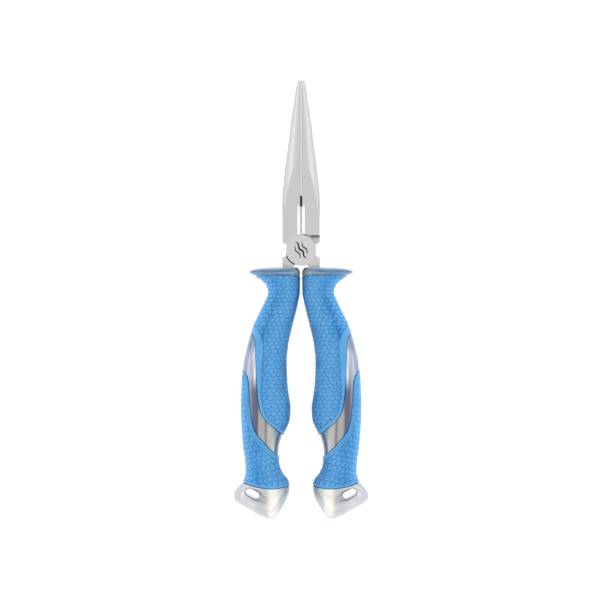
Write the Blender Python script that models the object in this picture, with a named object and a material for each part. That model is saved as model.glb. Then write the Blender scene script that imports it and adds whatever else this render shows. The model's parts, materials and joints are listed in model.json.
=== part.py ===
"""Long-nose fishing pliers, lying on their side with the jaws closed.

Two forged steel levers cross in a lap joint on a flush rivet. Each lever is a jaw above the joint and a
tang below it, on the other side. The tang runs down inside a handle: a hard core moulded in two half
shells around it and held by two dowel pins, a finger guard above, a butt cap with a lanyard hole below,
and two soft sleeves, with the core showing in the slanting window between them.

Both levers have the same shape. The back one, with its handle, is the front one turned half round about
the pliers' long axis. Lengths below are in millimetres from the pivot: X to the right, Y towards the jaw
tips, Z towards the front face. The handle that belongs to a lever with its jaw at -X is at +X.
"""

import math

import bmesh
import bpy
import numpy as np
from mathutils import Matrix

MM = 0.001

# Driving dimensions
JAW_REACH = 78.2
BUTT_REACH = 124.2
JOINT_THICKNESS = 9.0
JOINT_HALF_WIDTH = 8.6
BOSS_RADIUS = 7.0
HANDLE_HALF_DEPTH = 9.5
GAP = 0.3
RUNNING_GAP = 0.1

FACE_Z = JOINT_THICKNESS / 2
LAP_Z = GAP / 2
PIVOT_Y = (BUTT_REACH - JAW_REACH) / 2
PIVOT_Z = HANDLE_HALF_DEPTH
BEYOND = 5.0

# Jaw: distance above the pivot, half width of the closed nose, half depth of its round
JAW_STATIONS = (
    (1.0, JOINT_HALF_WIDTH, 30.0),
    (13.8, JOINT_HALF_WIDTH, 26.0),
    (17.5, JOINT_HALF_WIDTH, 11.8),
    (20.3, JOINT_HALF_WIDTH, 9.2),
    (26.8, 8.35, 6.8),
    (32.3, 7.88, 5.8),
    (37.8, 7.25, 4.95),
    (48.9, 5.85, 4.1),
    (60.0, 4.5, 3.3),
    (71.1, 2.8, 2.5),
    (77.0, 1.85, 2.05),
    (JAW_REACH, 1.45, 1.7),
)
JAW_GAP_HALF = 0.18
SHOULDER_Y = 6.8
POCKET_RADIUS = BOSS_RADIUS + 0.45
NOTCH_X, NOTCH_Y, NOTCH_CHAMFER = BOSS_RADIUS - 0.15, 2.85, 0.55

# Side cutters ground into the jaws just above the joint, and the relief slot above them
CUTTER_LOW, CUTTER_HIGH = 7.25, 20.8
CUTTER_HALF_WIDTH = 1.65
CUTTER_WALL_Z = 2.3
CUTTER_EDGE_Z = 0.2
RELIEF_LOW, RELIEF_HIGH = 19.8, 25.4
RELIEF_HALF_WIDTH = 0.45

# Lip that closes off the relief slot half way down: each lever's own one passes the other's
LIP_OVERLAP, LIP_HEIGHT = 0.3, 1.35

# Gripping teeth along the middle of each jaw's inner face
TEETH_LOW, TEETH_PITCH, TEETH_DEPTH, TEETH_COUNT = 28.0, 1.5, 0.35, 32
TEETH_HALF_Z = 1.4

# Tang: outlines below the joint, the tongue's edges as (distance below the pivot, inner, outer)
TANG_HEAD = ((3.0, -5.0), (6.2, -1.5), (8.6, -1.5), (8.6, -7.2), (2.8, -7.2))
TANG_SHANK = ((3.2, -6.5), (8.3, -6.5), (9.7, -11.6), (4.1, -11.6))
SHANK_HALF_Z = 4.2
TONGUE_HALF_Z = 2.5
TONGUE_EDGES = (
    (-11.2, 4.3, 9.4),
    (-20.0, 5.2, 11.5),
    (-30.0, 8.6, 15.4),
    (-45.0, 12.0, 18.7),
    (-60.0, 13.6, 19.6),
    (-80.0, 13.6, 19.0),
    (-92.0, 15.4, 20.4),
    (-99.0, 15.8, 20.0),
)
TANG_PINS = {"upper": (15.9, -50.0), "lower": (16.5, -70.0)}
PIN_RADIUS, PIN_HALF_LENGTH = 1.5, 5.4

# Rivet: a countersunk head flush with the back face, its shank in a blind hole of the front lever
RIVET_RADIUS, RIVET_HEAD_RADIUS = 2.5, 3.6
RIVET_HEAD_DEPTH = 1.2
RIVET_END_Z = 3.2

# Handle skin: distance below the pivot, inner edge, outer edge, half depth
HANDLE_STATIONS = (
    (-12.1, 0.45, 21.1, 9.0),
    (-13.6, 0.5, 18.7, 8.2),
    (-16.0, 0.55, 16.2, 7.5),
    (-19.4, 0.6, 15.15, 7.2),
    (-23.5, 1.3, 16.6, 7.2),
    (-28.0, 2.3, 18.8, 7.4),
    (-36.0, 4.3, 22.5, 7.8),
    (-44.0, 6.0, 24.95, 8.2),
    (-52.5, 6.65, 26.75, 8.4),
    (-61.0, 6.3, 27.45, 8.5),
    (-67.0, 5.65, 27.7, 8.5),
    (-73.0, 4.85, 27.78, 8.4),
    (-78.0, 5.2, 27.65, 8.2),
    (-85.0, 8.1, 27.25, 7.7),
    (-91.5, 9.8, 26.65, 7.3),
    (-97.5, 10.15, 25.8, 7.1),
    (-102.5, 8.6, 25.6, 7.6),
    (-106.0, 5.95, 26.6, 8.5),
    (-110.0, 4.9, 27.9, 9.3),
)
SECTION_POWER = 2.3
SLEEVE_THICKNESS = 1.1
CORE_INSET = SLEEVE_THICKNESS + GAP
WINDOW_INSET = 0.5

# Edges that cross the handle from its inner side (-1) to its outer side (1)
UPPER_SLEEVE_EDGE = (
    (-1.0, -85.2),
    (-0.9, -84.4),
    (-0.5, -81.9),
    (-0.1, -79.0),
    (0.17, -74.8),
    (0.26, -70.6),
    (0.3, -65.3),
    (0.35, -58.3),
    (0.43, -50.5),
    (0.64, -42.0),
    (1.0, -37.6),
)
LOWER_SLEEVE_EDGE = (
    (-1.0, -95.2),
    (-0.85, -94.4),
    (-0.43, -91.5),
    (-0.04, -88.3),
    (0.3, -84.9),
    (0.47, -82.5),
    (0.6, -78.5),
    (0.65, -73.2),
    (0.7, -65.3),
    (0.78, -59.3),
    (1.0, -55.1),
)
CAP_EDGE = ((-1.0, -108.8), (-0.3, -109.9), (0.4, -109.0), (1.0, -107.1))
TOP_Y = -12.1
FLARE_ROWS = (TOP_Y, -13.6, -16.0, -19.4, -25.0)
UPPER_SLEEVE_SHARES = (0.2, 0.38, 0.54, 0.69, 0.82, 0.92, 1.0)
WAIST_ROWS = (-97.5, -100.5, -103.5)
CORE_END_Y = -106.4
TENON = (11.0, 17.4, -111.0, 4.0)

# Finger guard: distance below the pivot, inner edge, outer edge, half depth
GUARD_RINGS = (
    (-7.75, 4.5, 13.5, 3.0),
    (-7.95, 2.2, 17.8, 6.2),
    (-8.5, 1.1, 21.2, 8.2),
    (-9.2, 0.6, 23.2, 9.2),
    (-10.0, 0.4, 24.0, HANDLE_HALF_DEPTH),
    (-10.7, 0.4, 23.6, 9.4),
    (-11.8, 0.5, 21.4, 9.1),
)

# Butt cap below its top edge: inner end, outer end and half depth of each section, then the bottom's middle
CAP_SECTIONS = (
    ((5.4, -111.2), (29.2, -109.3), 9.45),
    ((6.4, -114.3), (30.9, -112.0), HANDLE_HALF_DEPTH),
    ((8.1, -117.7), (31.0, -114.3), 9.1),
    ((10.2, -120.9), (29.9, -115.9), 7.9),
    ((12.2, -123.2), (28.2, -117.1), 5.6),
    ((14.2, -BUTT_REACH), (25.6, -118.7), 2.4),
)
CAP_BOTTOM = (20.0, -122.0)
CAP_TOP_MIDDLE = (16.0, -108.9)
LANYARD_CENTRE = (22.2, -111.9)
LANYARD_HALF_LENGTH, LANYARD_HALF_WIDTH = 3.5, 1.9
LANYARD_TILT = math.radians(28)
SCOOP_CENTRE = (20.6, -113.2, 9.6)
SCOOP_RADII = (6.4, 3.3, 3.2)

COLUMNS = 24


def clear_scene():
    for old in list(bpy.data.objects):
        bpy.data.objects.remove(old)


def new_collection(name, hidden=False):
    made = bpy.data.collections.new(name)
    made.hide_render = hidden
    bpy.context.scene.collection.children.link(made)
    return made


def material(name, colour, roughness, metallic):
    made = bpy.data.materials.new(name)
    made.use_nodes = True
    shader = made.node_tree.nodes["Principled BSDF"]
    shader.inputs["Base Color"].default_value = (*colour, 1)
    shader.inputs["Roughness"].default_value = roughness
    shader.inputs["Metallic"].default_value = metallic
    made.diffuse_color = (*colour, 1)
    return made


def smooth_through(points):
    """A function of the first number of each point, smooth through the others and free of overshoot."""
    table = np.array(sorted(points), float)
    at, values = table[:, 0], table[:, 1:]
    steps = np.diff(at)[:, None]
    slopes = np.diff(values, axis=0) / steps
    before, after = slopes[:-1], slopes[1:]
    same_way = before * after > 0
    mean = np.divide(2 * before * after, before + after, out=np.zeros_like(before), where=same_way)
    tangents = np.vstack([slopes[:1], mean, slopes[-1:]])

    def value(place):
        i = int(np.clip(np.searchsorted(at, place) - 1, 0, len(at) - 2))
        h = at[i + 1] - at[i]
        t = min(max((place - at[i]) / h, 0.0), 1.0)
        rise, fall = t * t * (3 - 2 * t), 1 - t * t * (3 - 2 * t)
        lead, trail = t * (1 - t) ** 2 * h, t * t * (t - 1) * h
        found = fall * values[i] + rise * values[i + 1] + lead * tangents[i] + trail * tangents[i + 1]
        return found if len(found) > 1 else float(found[0])

    return value


handle_at = smooth_through(HANDLE_STATIONS)
upper_edge_at = smooth_through(UPPER_SLEEVE_EDGE)
lower_edge_at = smooth_through(LOWER_SLEEVE_EDGE)
cap_edge_at = smooth_through(CAP_EDGE)


def superellipse(angle):
    """A point of the unit superellipse: x runs from -1 on the inner side to 1 on the outer side."""
    x, z = math.cos(angle), math.sin(angle)
    power = 2 / SECTION_POWER
    return math.copysign(abs(x) ** power, x), math.copysign(abs(z) ** power, z)


COLUMN_ANGLES = [2 * math.pi * k / COLUMNS for k in range(COLUMNS)]
COLUMN_POINTS = [superellipse(angle) for angle in COLUMN_ANGLES]


def skin_point(column, y, inset=0.0):
    """A point of the handle's skin, or of a surface this far inside it."""
    inner, outer, depth = handle_at(y)
    x, z = COLUMN_POINTS[column]
    middle, half = (inner + outer) / 2, (outer - inner) / 2
    return middle + (half - inset) * x, y, (depth - inset) * z


def skin_ring(height, inset=0.0):
    """A ring round the handle. The height is one value, or a function of the place across."""
    ring = []
    for column in range(COLUMNS):
        y = height(column) if callable(height) else height
        ring.append(skin_point(column, y, inset))
    return ring


def edge_height(edge_at, clearance=0.0):
    """A sleeve's edge by column, moved up by a clearance that is measured square to the edge."""

    def height(column):
        across = COLUMN_POINTS[column][0]
        step = 0.04
        low, high = max(across - step, -1), min(across + step, 1)
        inner, outer, depth = handle_at(edge_at(across))
        round_the_front = 0.5 * (outer - inner) * (high - low)
        lean = (edge_at(high) - edge_at(low)) / round_the_front
        return edge_at(across) + clearance * math.sqrt(1 + lean * lean)

    return height


def between(top, bottom, share):
    """The height this share of the way from one edge to another, by column."""

    def height(column):
        first = top(column) if callable(top) else top
        last = bottom(column) if callable(bottom) else bottom
        return first + (last - first) * share

    return height


def finish_object(name, mesh, parent, collection, surface):
    """Put a mesh in the scene: a part with its surface, or a hidden cutter when there is none."""
    solid = bmesh.new()
    solid.from_mesh(mesh)
    bmesh.ops.remove_doubles(solid, verts=solid.verts, dist=0.0001)
    bmesh.ops.scale(solid, verts=solid.verts, vec=(MM, MM, MM))
    bmesh.ops.recalc_face_normals(solid, faces=solid.faces)
    solid.to_mesh(mesh)
    solid.free()
    made = bpy.data.objects.new(name, mesh)
    collection.objects.link(made)
    made.parent = parent
    if surface is None:
        made.hide_render = True
        made.display_type = "WIRE"
        return made
    mesh.materials.append(surface)
    mesh.shade_smooth()
    mesh.set_sharp_from_angle(angle=math.radians(30))
    return made


def loft(name, rings, parent, collection, surface=None, ends=None):
    """A skin over rings of the same length. With no end points the last ring joins the first, as in a sleeve."""
    count = len(rings[0])
    points = [point for ring in rings for point in ring]
    pairs = list(zip(range(len(rings)), range(1, len(rings))))
    if ends is None:
        pairs.append((len(rings) - 1, 0))
    faces = []
    for low, high in pairs:
        for k in range(count):
            n = (k + 1) % count
            faces.append((low * count + k, low * count + n, high * count + n, high * count + k))
    if ends is not None:
        for ring_index, tip in ((0, ends[0]), (len(rings) - 1, ends[1])):
            points.append(tip)
            for k in range(count):
                n = (k + 1) % count
                faces.append((ring_index * count + k, ring_index * count + n, len(points) - 1))
    mesh = bpy.data.meshes.new(name)
    mesh.from_pydata(points, [], faces)
    return finish_object(name, mesh, parent, collection, surface)


def prism(name, outline, low, high, parent, tools, along_y=False):
    """A cutter with a flat outline and straight walls, drawn as a filled curve. It stands along Z or Y."""
    curve = bpy.data.curves.new(name, "CURVE")
    curve.dimensions = "2D"
    curve.fill_mode = "BOTH"
    curve.extrude = (high - low) / 2
    line = curve.splines.new("POLY")
    line.points.add(len(outline) - 1)
    for point, (x, y) in zip(line.points, outline):
        point.co = (x, y, 0, 1)
    line.use_cyclic_u = True
    drawn = bpy.data.objects.new(name, curve)
    bpy.context.scene.collection.objects.link(drawn)
    bpy.context.view_layer.update()
    mesh = bpy.data.meshes.new_from_object(drawn.evaluated_get(bpy.context.evaluated_depsgraph_get()))
    bpy.data.objects.remove(drawn)
    bpy.data.curves.remove(curve)
    for vertex in mesh.vertices:
        across, up, deep = vertex.co[0], vertex.co[1], vertex.co[2] + (low + high) / 2
        vertex.co = (across, deep, up) if along_y else (across, up, deep)
    return finish_object(name, mesh, parent, tools, None)


def turned(name, profile, centre, parent, collection, surface=None, segments=32):
    """A round piece standing along Z, turned from (radius, height) points that start and end on its axis."""
    solid = bmesh.new()
    verts = [solid.verts.new((centre[0] + radius, centre[1], z)) for radius, z in profile]
    edges = [solid.edges.new(pair) for pair in zip(verts[:-1], verts[1:])]
    bmesh.ops.spin(
        solid,
        geom=verts + edges,
        cent=(*centre, 0),
        axis=(0, 0, 1),
        angle=2 * math.pi,
        steps=segments,
        use_merge=True,
    )
    bmesh.ops.remove_doubles(solid, verts=solid.verts, dist=0.0001)
    mesh = bpy.data.meshes.new(name)
    solid.to_mesh(mesh)
    solid.free()
    return finish_object(name, mesh, parent, collection, surface)


def drill(name, radius, low, high, centre, parent, tools, segments=20):
    profile = ((0, low), (radius, low), (radius, high), (0, high))
    return turned(name, profile, centre, parent, tools, None, segments)


def combine(target, tool, operation):
    modifier = target.modifiers.new(f"{operation.lower()}_{tool.name}"[:60], "BOOLEAN")
    modifier.operation = operation
    modifier.object = tool
    modifier.solver = "EXACT"


def box_outline(low_x, high_x, low_y, high_y):
    return [(low_x, low_y), (high_x, low_y), (high_x, high_y), (low_x, high_y)]


def oval_outline(centre, half_length, half_width, tilt, segments=20):
    """A long hole with round ends, tilted from the X axis."""
    straight = half_length - half_width
    outline = []
    for k in range(segments):
        angle = 2 * math.pi * (k + 0.5) / segments
        x = half_width * math.cos(angle) + math.copysign(straight, math.cos(angle))
        y = half_width * math.sin(angle)
        outline.append(
            (
                centre[0] + x * math.cos(tilt) - y * math.sin(tilt),
                centre[1] + x * math.sin(tilt) + y * math.cos(tilt),
            )
        )
    return outline


def tongue_outline(clearance=0.0):
    """The tang's tongue, following the middle of the handle."""
    top = (TONGUE_EDGES[0][0] + clearance, TONGUE_EDGES[0][1], TONGUE_EDGES[0][2])
    bottom = (TONGUE_EDGES[-1][0] - clearance, TONGUE_EDGES[-1][1], TONGUE_EDGES[-1][2])
    rows = (top, *TONGUE_EDGES[1:-1], bottom)
    inner_side = [(inner - clearance, y) for y, inner, outer in rows]
    outer_side = [(outer + clearance, y) for y, inner, outer in rows]
    return inner_side + outer_side[::-1]


def jaw_rings():
    """Half an ellipse at each station: flat on the gripping side, round outside."""
    segments = 12
    rings = []
    for y, half_width, half_depth in JAW_STATIONS:
        ring = []
        for k in range(segments + 1):
            angle = math.pi * (k / segments - 0.5)
            x = -JAW_GAP_HALF - (half_width - JAW_GAP_HALF) * math.cos(angle)
            ring.append((x, y, half_depth * math.sin(angle)))
        rings.append(ring)
    return rings


def teeth_outline():
    """A row of V notches that bite into the gripping face."""
    outline = [(BEYOND, TEETH_LOW)]
    for k in range(TEETH_COUNT):
        y = TEETH_LOW + k * TEETH_PITCH
        outline.append((0.0, y))
        outline.append((-JAW_GAP_HALF - TEETH_DEPTH, y + 0.5 * TEETH_PITCH))
    outline.append((0.0, TEETH_LOW + TEETH_COUNT * TEETH_PITCH))
    outline.append((BEYOND, TEETH_LOW + TEETH_COUNT * TEETH_PITCH))
    return outline


def pocket_outline():
    """Room for the other lever's boss, with the straight shoulder beside it."""
    start = math.pi - math.asin(SHOULDER_Y / POCKET_RADIUS)
    steps = 40
    outline = [(-2 * JOINT_HALF_WIDTH, 0.0), (-2 * JOINT_HALF_WIDTH, SHOULDER_Y)]
    for k in range(steps + 1):
        angle = start - (start + math.pi) * k / steps
        outline.append((POCKET_RADIUS * math.cos(angle), POCKET_RADIUS * math.sin(angle)))
    return outline


def lip_outline():
    """The lip in the relief slot, rooted in the jaw above the cutters and narrower beside them."""
    root, wall = -RELIEF_HALF_WIDTH - 1.0, -RELIEF_HALF_WIDTH - 0.05
    low, step, high = RELIEF_LOW + 0.1, CUTTER_HIGH + 0.5, RELIEF_HIGH - GAP
    return [(root, step), (wall, step), (wall, low), (LIP_OVERLAP, low), (LIP_OVERLAP, high), (root, high)]


def cutter_groove(name, side, pivot, tools):
    """The ground bevel of a side cutter, on the front (side 1) or on the back (side -1) of the jaw."""
    section = [
        (BEYOND, side * CUTTER_EDGE_Z),
        (-JAW_GAP_HALF, side * CUTTER_EDGE_Z),
        (-CUTTER_HALF_WIDTH, side * CUTTER_WALL_Z),
        (-CUTTER_HALF_WIDTH, side * (FACE_Z + BEYOND)),
        (BEYOND, side * (FACE_Z + BEYOND)),
    ]
    return prism(name, section, CUTTER_LOW, CUTTER_HIGH, pivot, tools, along_y=True)


def lever(name, pivot, parts, tools, surface):
    """One forged lever: half of the nose, the boss in the front layer, and the tang."""
    foot, tip = JAW_STATIONS[0], JAW_STATIONS[-1]
    ends = ((-foot[1] / 2, foot[0], 0.0), (-tip[1] / 2, tip[0], 0.0))
    made = loft(name, jaw_rings(), pivot, parts, surface, ends)

    def block(suffix, outline, low_z, high_z):
        return prism(f"{name}_{suffix}", outline, low_z, high_z, pivot, tools)

    above, below = FACE_Z + 1, -FACE_Z - 1
    added = [
        drill(f"{name}_boss", BOSS_RADIUS, below, above, (0, 0), pivot, tools, segments=48),
        block("tang_head", TANG_HEAD, below, above),
        block("tang_shank", TANG_SHANK, -SHANK_HALF_Z, SHANK_HALF_Z),
        block("tongue", tongue_outline(), -TONGUE_HALF_Z, TONGUE_HALF_Z),
    ]
    for tool in added:
        combine(made, tool, "UNION")
    slab_outline = box_outline(-20, 40, TONGUE_EDGES[-1][0] - BEYOND, JAW_REACH + BEYOND)
    combine(made, block("slab", slab_outline, -FACE_Z, FACE_Z), "INTERSECT")
    combine(made, block("pocket", pocket_outline(), below, LAP_Z), "DIFFERENCE")

    for side in (-1, 1):
        wall, edge = side * NOTCH_X, side * (JOINT_HALF_WIDTH + 1)
        rise = NOTCH_CHAMFER * (JOINT_HALF_WIDTH + 1 - NOTCH_X) / (JOINT_HALF_WIDTH - NOTCH_X)
        outline = [(wall, -NOTCH_Y), (wall, NOTCH_Y), (edge, NOTCH_Y + rise), (edge, -NOTCH_Y - rise)]
        combine(made, block(f"notch{side:+d}", outline, below, above), "DIFFERENCE")
        combine(made, cutter_groove(f"{name}_cutter{side:+d}", side, pivot, tools), "DIFFERENCE")

    relief_outline = box_outline(-RELIEF_HALF_WIDTH, BEYOND, RELIEF_LOW, RELIEF_HIGH)
    combine(made, block("relief", relief_outline, below, above), "DIFFERENCE")
    combine(made, block("lip", lip_outline(), LAP_Z, LAP_Z + LIP_HEIGHT), "UNION")
    combine(made, block("teeth", teeth_outline(), -TEETH_HALF_Z, TEETH_HALF_Z), "DIFFERENCE")
    for where, centre in TANG_PINS.items():
        hole = drill(f"{name}_{where}_pin_hole", PIN_RADIUS + GAP, below, above, centre, pivot, tools)
        combine(made, hole, "DIFFERENCE")
    return made


def rivet_and_bores(front, back, front_pivot, parts, tools, surface):
    """The rivet through both bosses: fixed in the front lever, with running clearance in the back one."""
    neck_z = -FACE_Z + RIVET_HEAD_DEPTH
    rivet = (
        (0, -FACE_Z),
        (RIVET_HEAD_RADIUS, -FACE_Z),
        (RIVET_RADIUS, neck_z),
        (RIVET_RADIUS, RIVET_END_Z),
        (0, RIVET_END_Z),
    )
    turned("pivot_rivet", rivet, (0, 0), front_pivot, parts, surface, segments=40)
    bore = RIVET_RADIUS + RUNNING_GAP
    slope = (RIVET_HEAD_RADIUS - RIVET_RADIUS) / RIVET_HEAD_DEPTH
    through = (
        (0, -FACE_Z - 1),
        (RIVET_HEAD_RADIUS + slope + 1.5 * RUNNING_GAP, -FACE_Z - 1),
        (bore, neck_z + RUNNING_GAP),
        (bore, 1.0),
        (0, 1.0),
    )
    blind_bore = drill("blind_bore", bore, -1.0, RIVET_END_Z + GAP, (0, 0), front_pivot, tools, segments=40)
    through_bore = turned("through_bore", through, (0, 0), front_pivot, tools, segments=40)
    combine(front, blind_bore, "DIFFERENCE")
    combine(back, through_bore, "DIFFERENCE")


def guard(name, pivot, parts, tools, surface):
    """The finger guard: an oval flange, domed on top, with a slot for the tang."""
    rings = []
    for y, inner, outer, depth in GUARD_RINGS:
        middle, half = (inner + outer) / 2, (outer - inner) / 2
        rings.append([(middle + half * x, y, depth * z) for x, z in COLUMN_POINTS])
    top, bottom = GUARD_RINGS[0], GUARD_RINGS[-1]
    ends = (((top[1] + top[2]) / 2, top[0], 0), ((bottom[1] + bottom[2]) / 2, bottom[0], 0))
    made = loft(name, rings, pivot, parts, surface, ends)
    outline = [(2.5, -6.0), (9.1, -6.0), (10.4, -13.0), (3.5, -13.0)]
    slot = prism(f"{name}_slot", outline, -SHANK_HALF_Z - GAP, SHANK_HALF_Z + GAP, pivot, tools)
    combine(made, slot, "DIFFERENCE")


def sleeve(name, heights, pivot, parts, surface):
    """A soft sleeve: the handle's skin down to its inner face, between the first and the last height."""
    outside = [skin_ring(height) for height in heights]
    inside = [skin_ring(height, SLEEVE_THICKNESS) for height in reversed(heights)]
    loft(name, outside + inside, pivot, parts, surface)


def sleeve_heights():
    """The rows of the upper sleeve and of the lower sleeve, from top to bottom."""
    upper_end = edge_height(upper_edge_at)
    lower_start = edge_height(lower_edge_at)
    cap_top = edge_height(cap_edge_at, GAP)
    upper = [*FLARE_ROWS, *(between(FLARE_ROWS[-1], upper_end, share) for share in UPPER_SLEEVE_SHARES)]
    lower = [between(lower_start, WAIST_ROWS[0], share / 3) for share in range(3)]
    lower += [*WAIST_ROWS, between(WAIST_ROWS[-1], cap_top, 0.5), cap_top]
    return upper, lower


def core_rings():
    """The core under the sleeves' own rows, raised between them to show in the window."""
    upper, lower = sleeve_heights()
    window_top = edge_height(upper_edge_at, -GAP)
    window_bottom = edge_height(lower_edge_at, GAP)
    under_lower = lower[: 3 + len(WAIST_ROWS)]
    rings = [skin_ring(height, CORE_INSET) for height in (*upper, window_top)]
    rings += [skin_ring(between(window_top, window_bottom, share / 4), WINDOW_INSET) for share in range(5)]
    rings += [skin_ring(height, CORE_INSET) for height in (window_bottom, *under_lower)]
    rings.append(skin_ring(CORE_END_Y, CORE_INSET + 2 * GAP))
    return rings


def core_halves(side, pivot, parts, tools, surface):
    """The hard core in its front and back shells, each with half a tenon for the butt cap."""
    rings = core_rings()
    ends = ((7.0, TOP_Y, 0.0), (16.0, CORE_END_Y, 0.0))
    tenon_left, tenon_right, tenon_end, tenon_half_z = TENON
    tenon_outline = box_outline(tenon_left, tenon_right, tenon_end, CORE_END_Y + 2)
    for half, sign in (("front", 1), ("back", -1)):
        name = f"{side}_core_{half}"
        made = loft(name, rings, pivot, parts, surface, ends)
        tenon = prism(f"{name}_tenon", tenon_outline, -tenon_half_z, tenon_half_z, pivot, tools)
        combine(made, tenon, "UNION")
        low, high = sorted((sign * LAP_Z, sign * 2 * HANDLE_HALF_DEPTH))
        keep = prism(f"{name}_keep", box_outline(-20, 50, -BUTT_REACH, 0), low, high, pivot, tools)
        combine(made, keep, "INTERSECT")
        low, high = sorted((-sign * 1.0, sign * (TONGUE_HALF_Z + GAP)))
        pocket = prism(f"{name}_pocket", tongue_outline(GAP), low, high, pivot, tools)
        combine(made, pocket, "DIFFERENCE")
        low, high = sorted((-sign * 1.0, sign * (PIN_HALF_LENGTH + GAP)))
        for where, centre in TANG_PINS.items():
            hole = drill(f"{name}_{where}_hole", PIN_RADIUS + GAP, low, high, centre, pivot, tools)
            combine(made, hole, "DIFFERENCE")


def tang_pins(side, pivot, parts, surface):
    bevel, end = 0.3, PIN_HALF_LENGTH
    profile = (
        (0, -end),
        (PIN_RADIUS - bevel, -end),
        (PIN_RADIUS, -end + bevel),
        (PIN_RADIUS, end - bevel),
        (PIN_RADIUS - bevel, end),
        (0, end),
    )
    for where, centre in TANG_PINS.items():
        turned(f"{side}_{where}_tang_pin", profile, centre, pivot, parts, surface, segments=16)


def scoop_cutter(name, sign, pivot, tools):
    """An egg-shaped cutter that leaves the dished recess round the lanyard hole."""
    solid = bmesh.new()
    bmesh.ops.create_uvsphere(solid, u_segments=20, v_segments=10, radius=1.0)
    bmesh.ops.scale(solid, verts=solid.verts, vec=SCOOP_RADII)
    turn = Matrix.Rotation(LANYARD_TILT, 3, "Z")
    bmesh.ops.rotate(solid, verts=solid.verts, cent=(0, 0, 0), matrix=turn)
    x, y, z = SCOOP_CENTRE
    bmesh.ops.translate(solid, verts=solid.verts, vec=(x, y, sign * z))
    mesh = bpy.data.meshes.new(name)
    solid.to_mesh(mesh)
    solid.free()
    return finish_object(name, mesh, pivot, tools, None)


def butt_cap(name, pivot, parts, tools, surface):
    """The butt cap: a slanting wedge with a lanyard hole in a scoop, and a pocket for the core's tenon."""
    rings = [skin_ring(edge_height(cap_edge_at))]
    for inner, outer, depth in CAP_SECTIONS:
        middle = [(a + b) / 2 for a, b in zip(inner, outer)]
        half = [(b - a) / 2 for a, b in zip(inner, outer)]
        rings.append([(middle[0] + half[0] * x, middle[1] + half[1] * x, depth * z) for x, z in COLUMN_POINTS])
    ends = ((*CAP_TOP_MIDDLE, 0.0), (*CAP_BOTTOM, 0.0))
    made = loft(name, rings, pivot, parts, surface, ends)

    tenon_left, tenon_right, tenon_end, tenon_half_z = TENON
    outline = box_outline(tenon_left - GAP, tenon_right + GAP, tenon_end - GAP, CORE_END_Y + 2)
    pocket = prism(f"{name}_pocket", outline, -tenon_half_z - GAP, tenon_half_z + GAP, pivot, tools)
    combine(made, pocket, "DIFFERENCE")
    outline = oval_outline(LANYARD_CENTRE, LANYARD_HALF_LENGTH, LANYARD_HALF_WIDTH, LANYARD_TILT)
    hole = prism(f"{name}_hole", outline, -2 * HANDLE_HALF_DEPTH, 2 * HANDLE_HALF_DEPTH, pivot, tools)
    combine(made, hole, "DIFFERENCE")
    for sign in (-1, 1):
        combine(made, scoop_cutter(f"{name}_scoop{sign:+d}", sign, pivot, tools), "DIFFERENCE")


def handle(side, pivot, parts, tools, surfaces):
    upper, lower = sleeve_heights()
    guard(f"{side}_guard", pivot, parts, tools, surfaces["guard"])
    sleeve(f"{side}_upper_sleeve", upper, pivot, parts, surfaces["sleeve"])
    sleeve(f"{side}_lower_sleeve", lower, pivot, parts, surfaces["sleeve"])
    core_halves(side, pivot, parts, tools, surfaces["core"])
    tang_pins(side, pivot, parts, surfaces["pin"])
    butt_cap(f"{side}_butt_cap", pivot, parts, tools, surfaces["cap"])


def pivot_empty(name, half_turn):
    made = bpy.data.objects.new(name, None)
    bpy.context.scene.collection.objects.link(made)
    made.location = (0, PIVOT_Y * MM, PIVOT_Z * MM)
    made.rotation_euler = (0, math.pi if half_turn else 0, 0)
    return made


def half_turn_copy(source, name, back_pivot, parts):
    """The same finished piece again, on the back lever's pivot."""
    bpy.context.view_layer.update()
    finished = source.evaluated_get(bpy.context.evaluated_depsgraph_get())
    made = bpy.data.objects.new(name, bpy.data.meshes.new_from_object(finished))
    parts.objects.link(made)
    made.parent = back_pivot
    return made


def main():
    clear_scene()
    parts = new_collection("fishing_pliers")
    tools = new_collection("cutters", hidden=True)
    surfaces = {
        "steel": material("satin_steel", (0.60, 0.60, 0.60), 0.35, 1.0),
        "pin": material("bright_steel", (0.68, 0.68, 0.69), 0.25, 1.0),
        "guard": material("blue_pearl_plastic", (0.24, 0.42, 0.62), 0.2, 0.3),
        "sleeve": material("blue_soft_grip", (0.10, 0.36, 0.72), 0.55, 0.0),
        "core": material("silver_pearl_plastic", (0.45, 0.47, 0.52), 0.2, 0.7),
        "cap": material("white_pearl_plastic", (0.80, 0.82, 0.84), 0.2, 0.4),
    }
    front_pivot = pivot_empty("front_lever_pivot", False)
    back_pivot = pivot_empty("back_lever_pivot", True)
    handle("right", front_pivot, parts, tools, surfaces)
    for piece in list(parts.objects):
        half_turn_copy(piece, piece.name.replace("right", "left"), back_pivot, parts)
    front = lever("front_lever", front_pivot, parts, tools, surfaces["steel"])
    back = half_turn_copy(front, "back_lever", back_pivot, parts)
    rivet_and_bores(front, back, front_pivot, parts, tools, surfaces["pin"])


main()
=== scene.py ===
"""Looks of the long-nose fishing pliers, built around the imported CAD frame.

Shapes are made in millimetres from the pivot: X to the right, Y towards the jaw tips, Z towards the front
face. Everything is drawn for the front lever and the handle at +X. The same pieces turned half round about Y
make the back lever and its handle at -X. Each mesh keeps its own millimetre coordinates as the attribute
"place" and its normals as "lean", so a pattern stays with its piece in every pose.
"""

import json
import math

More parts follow.
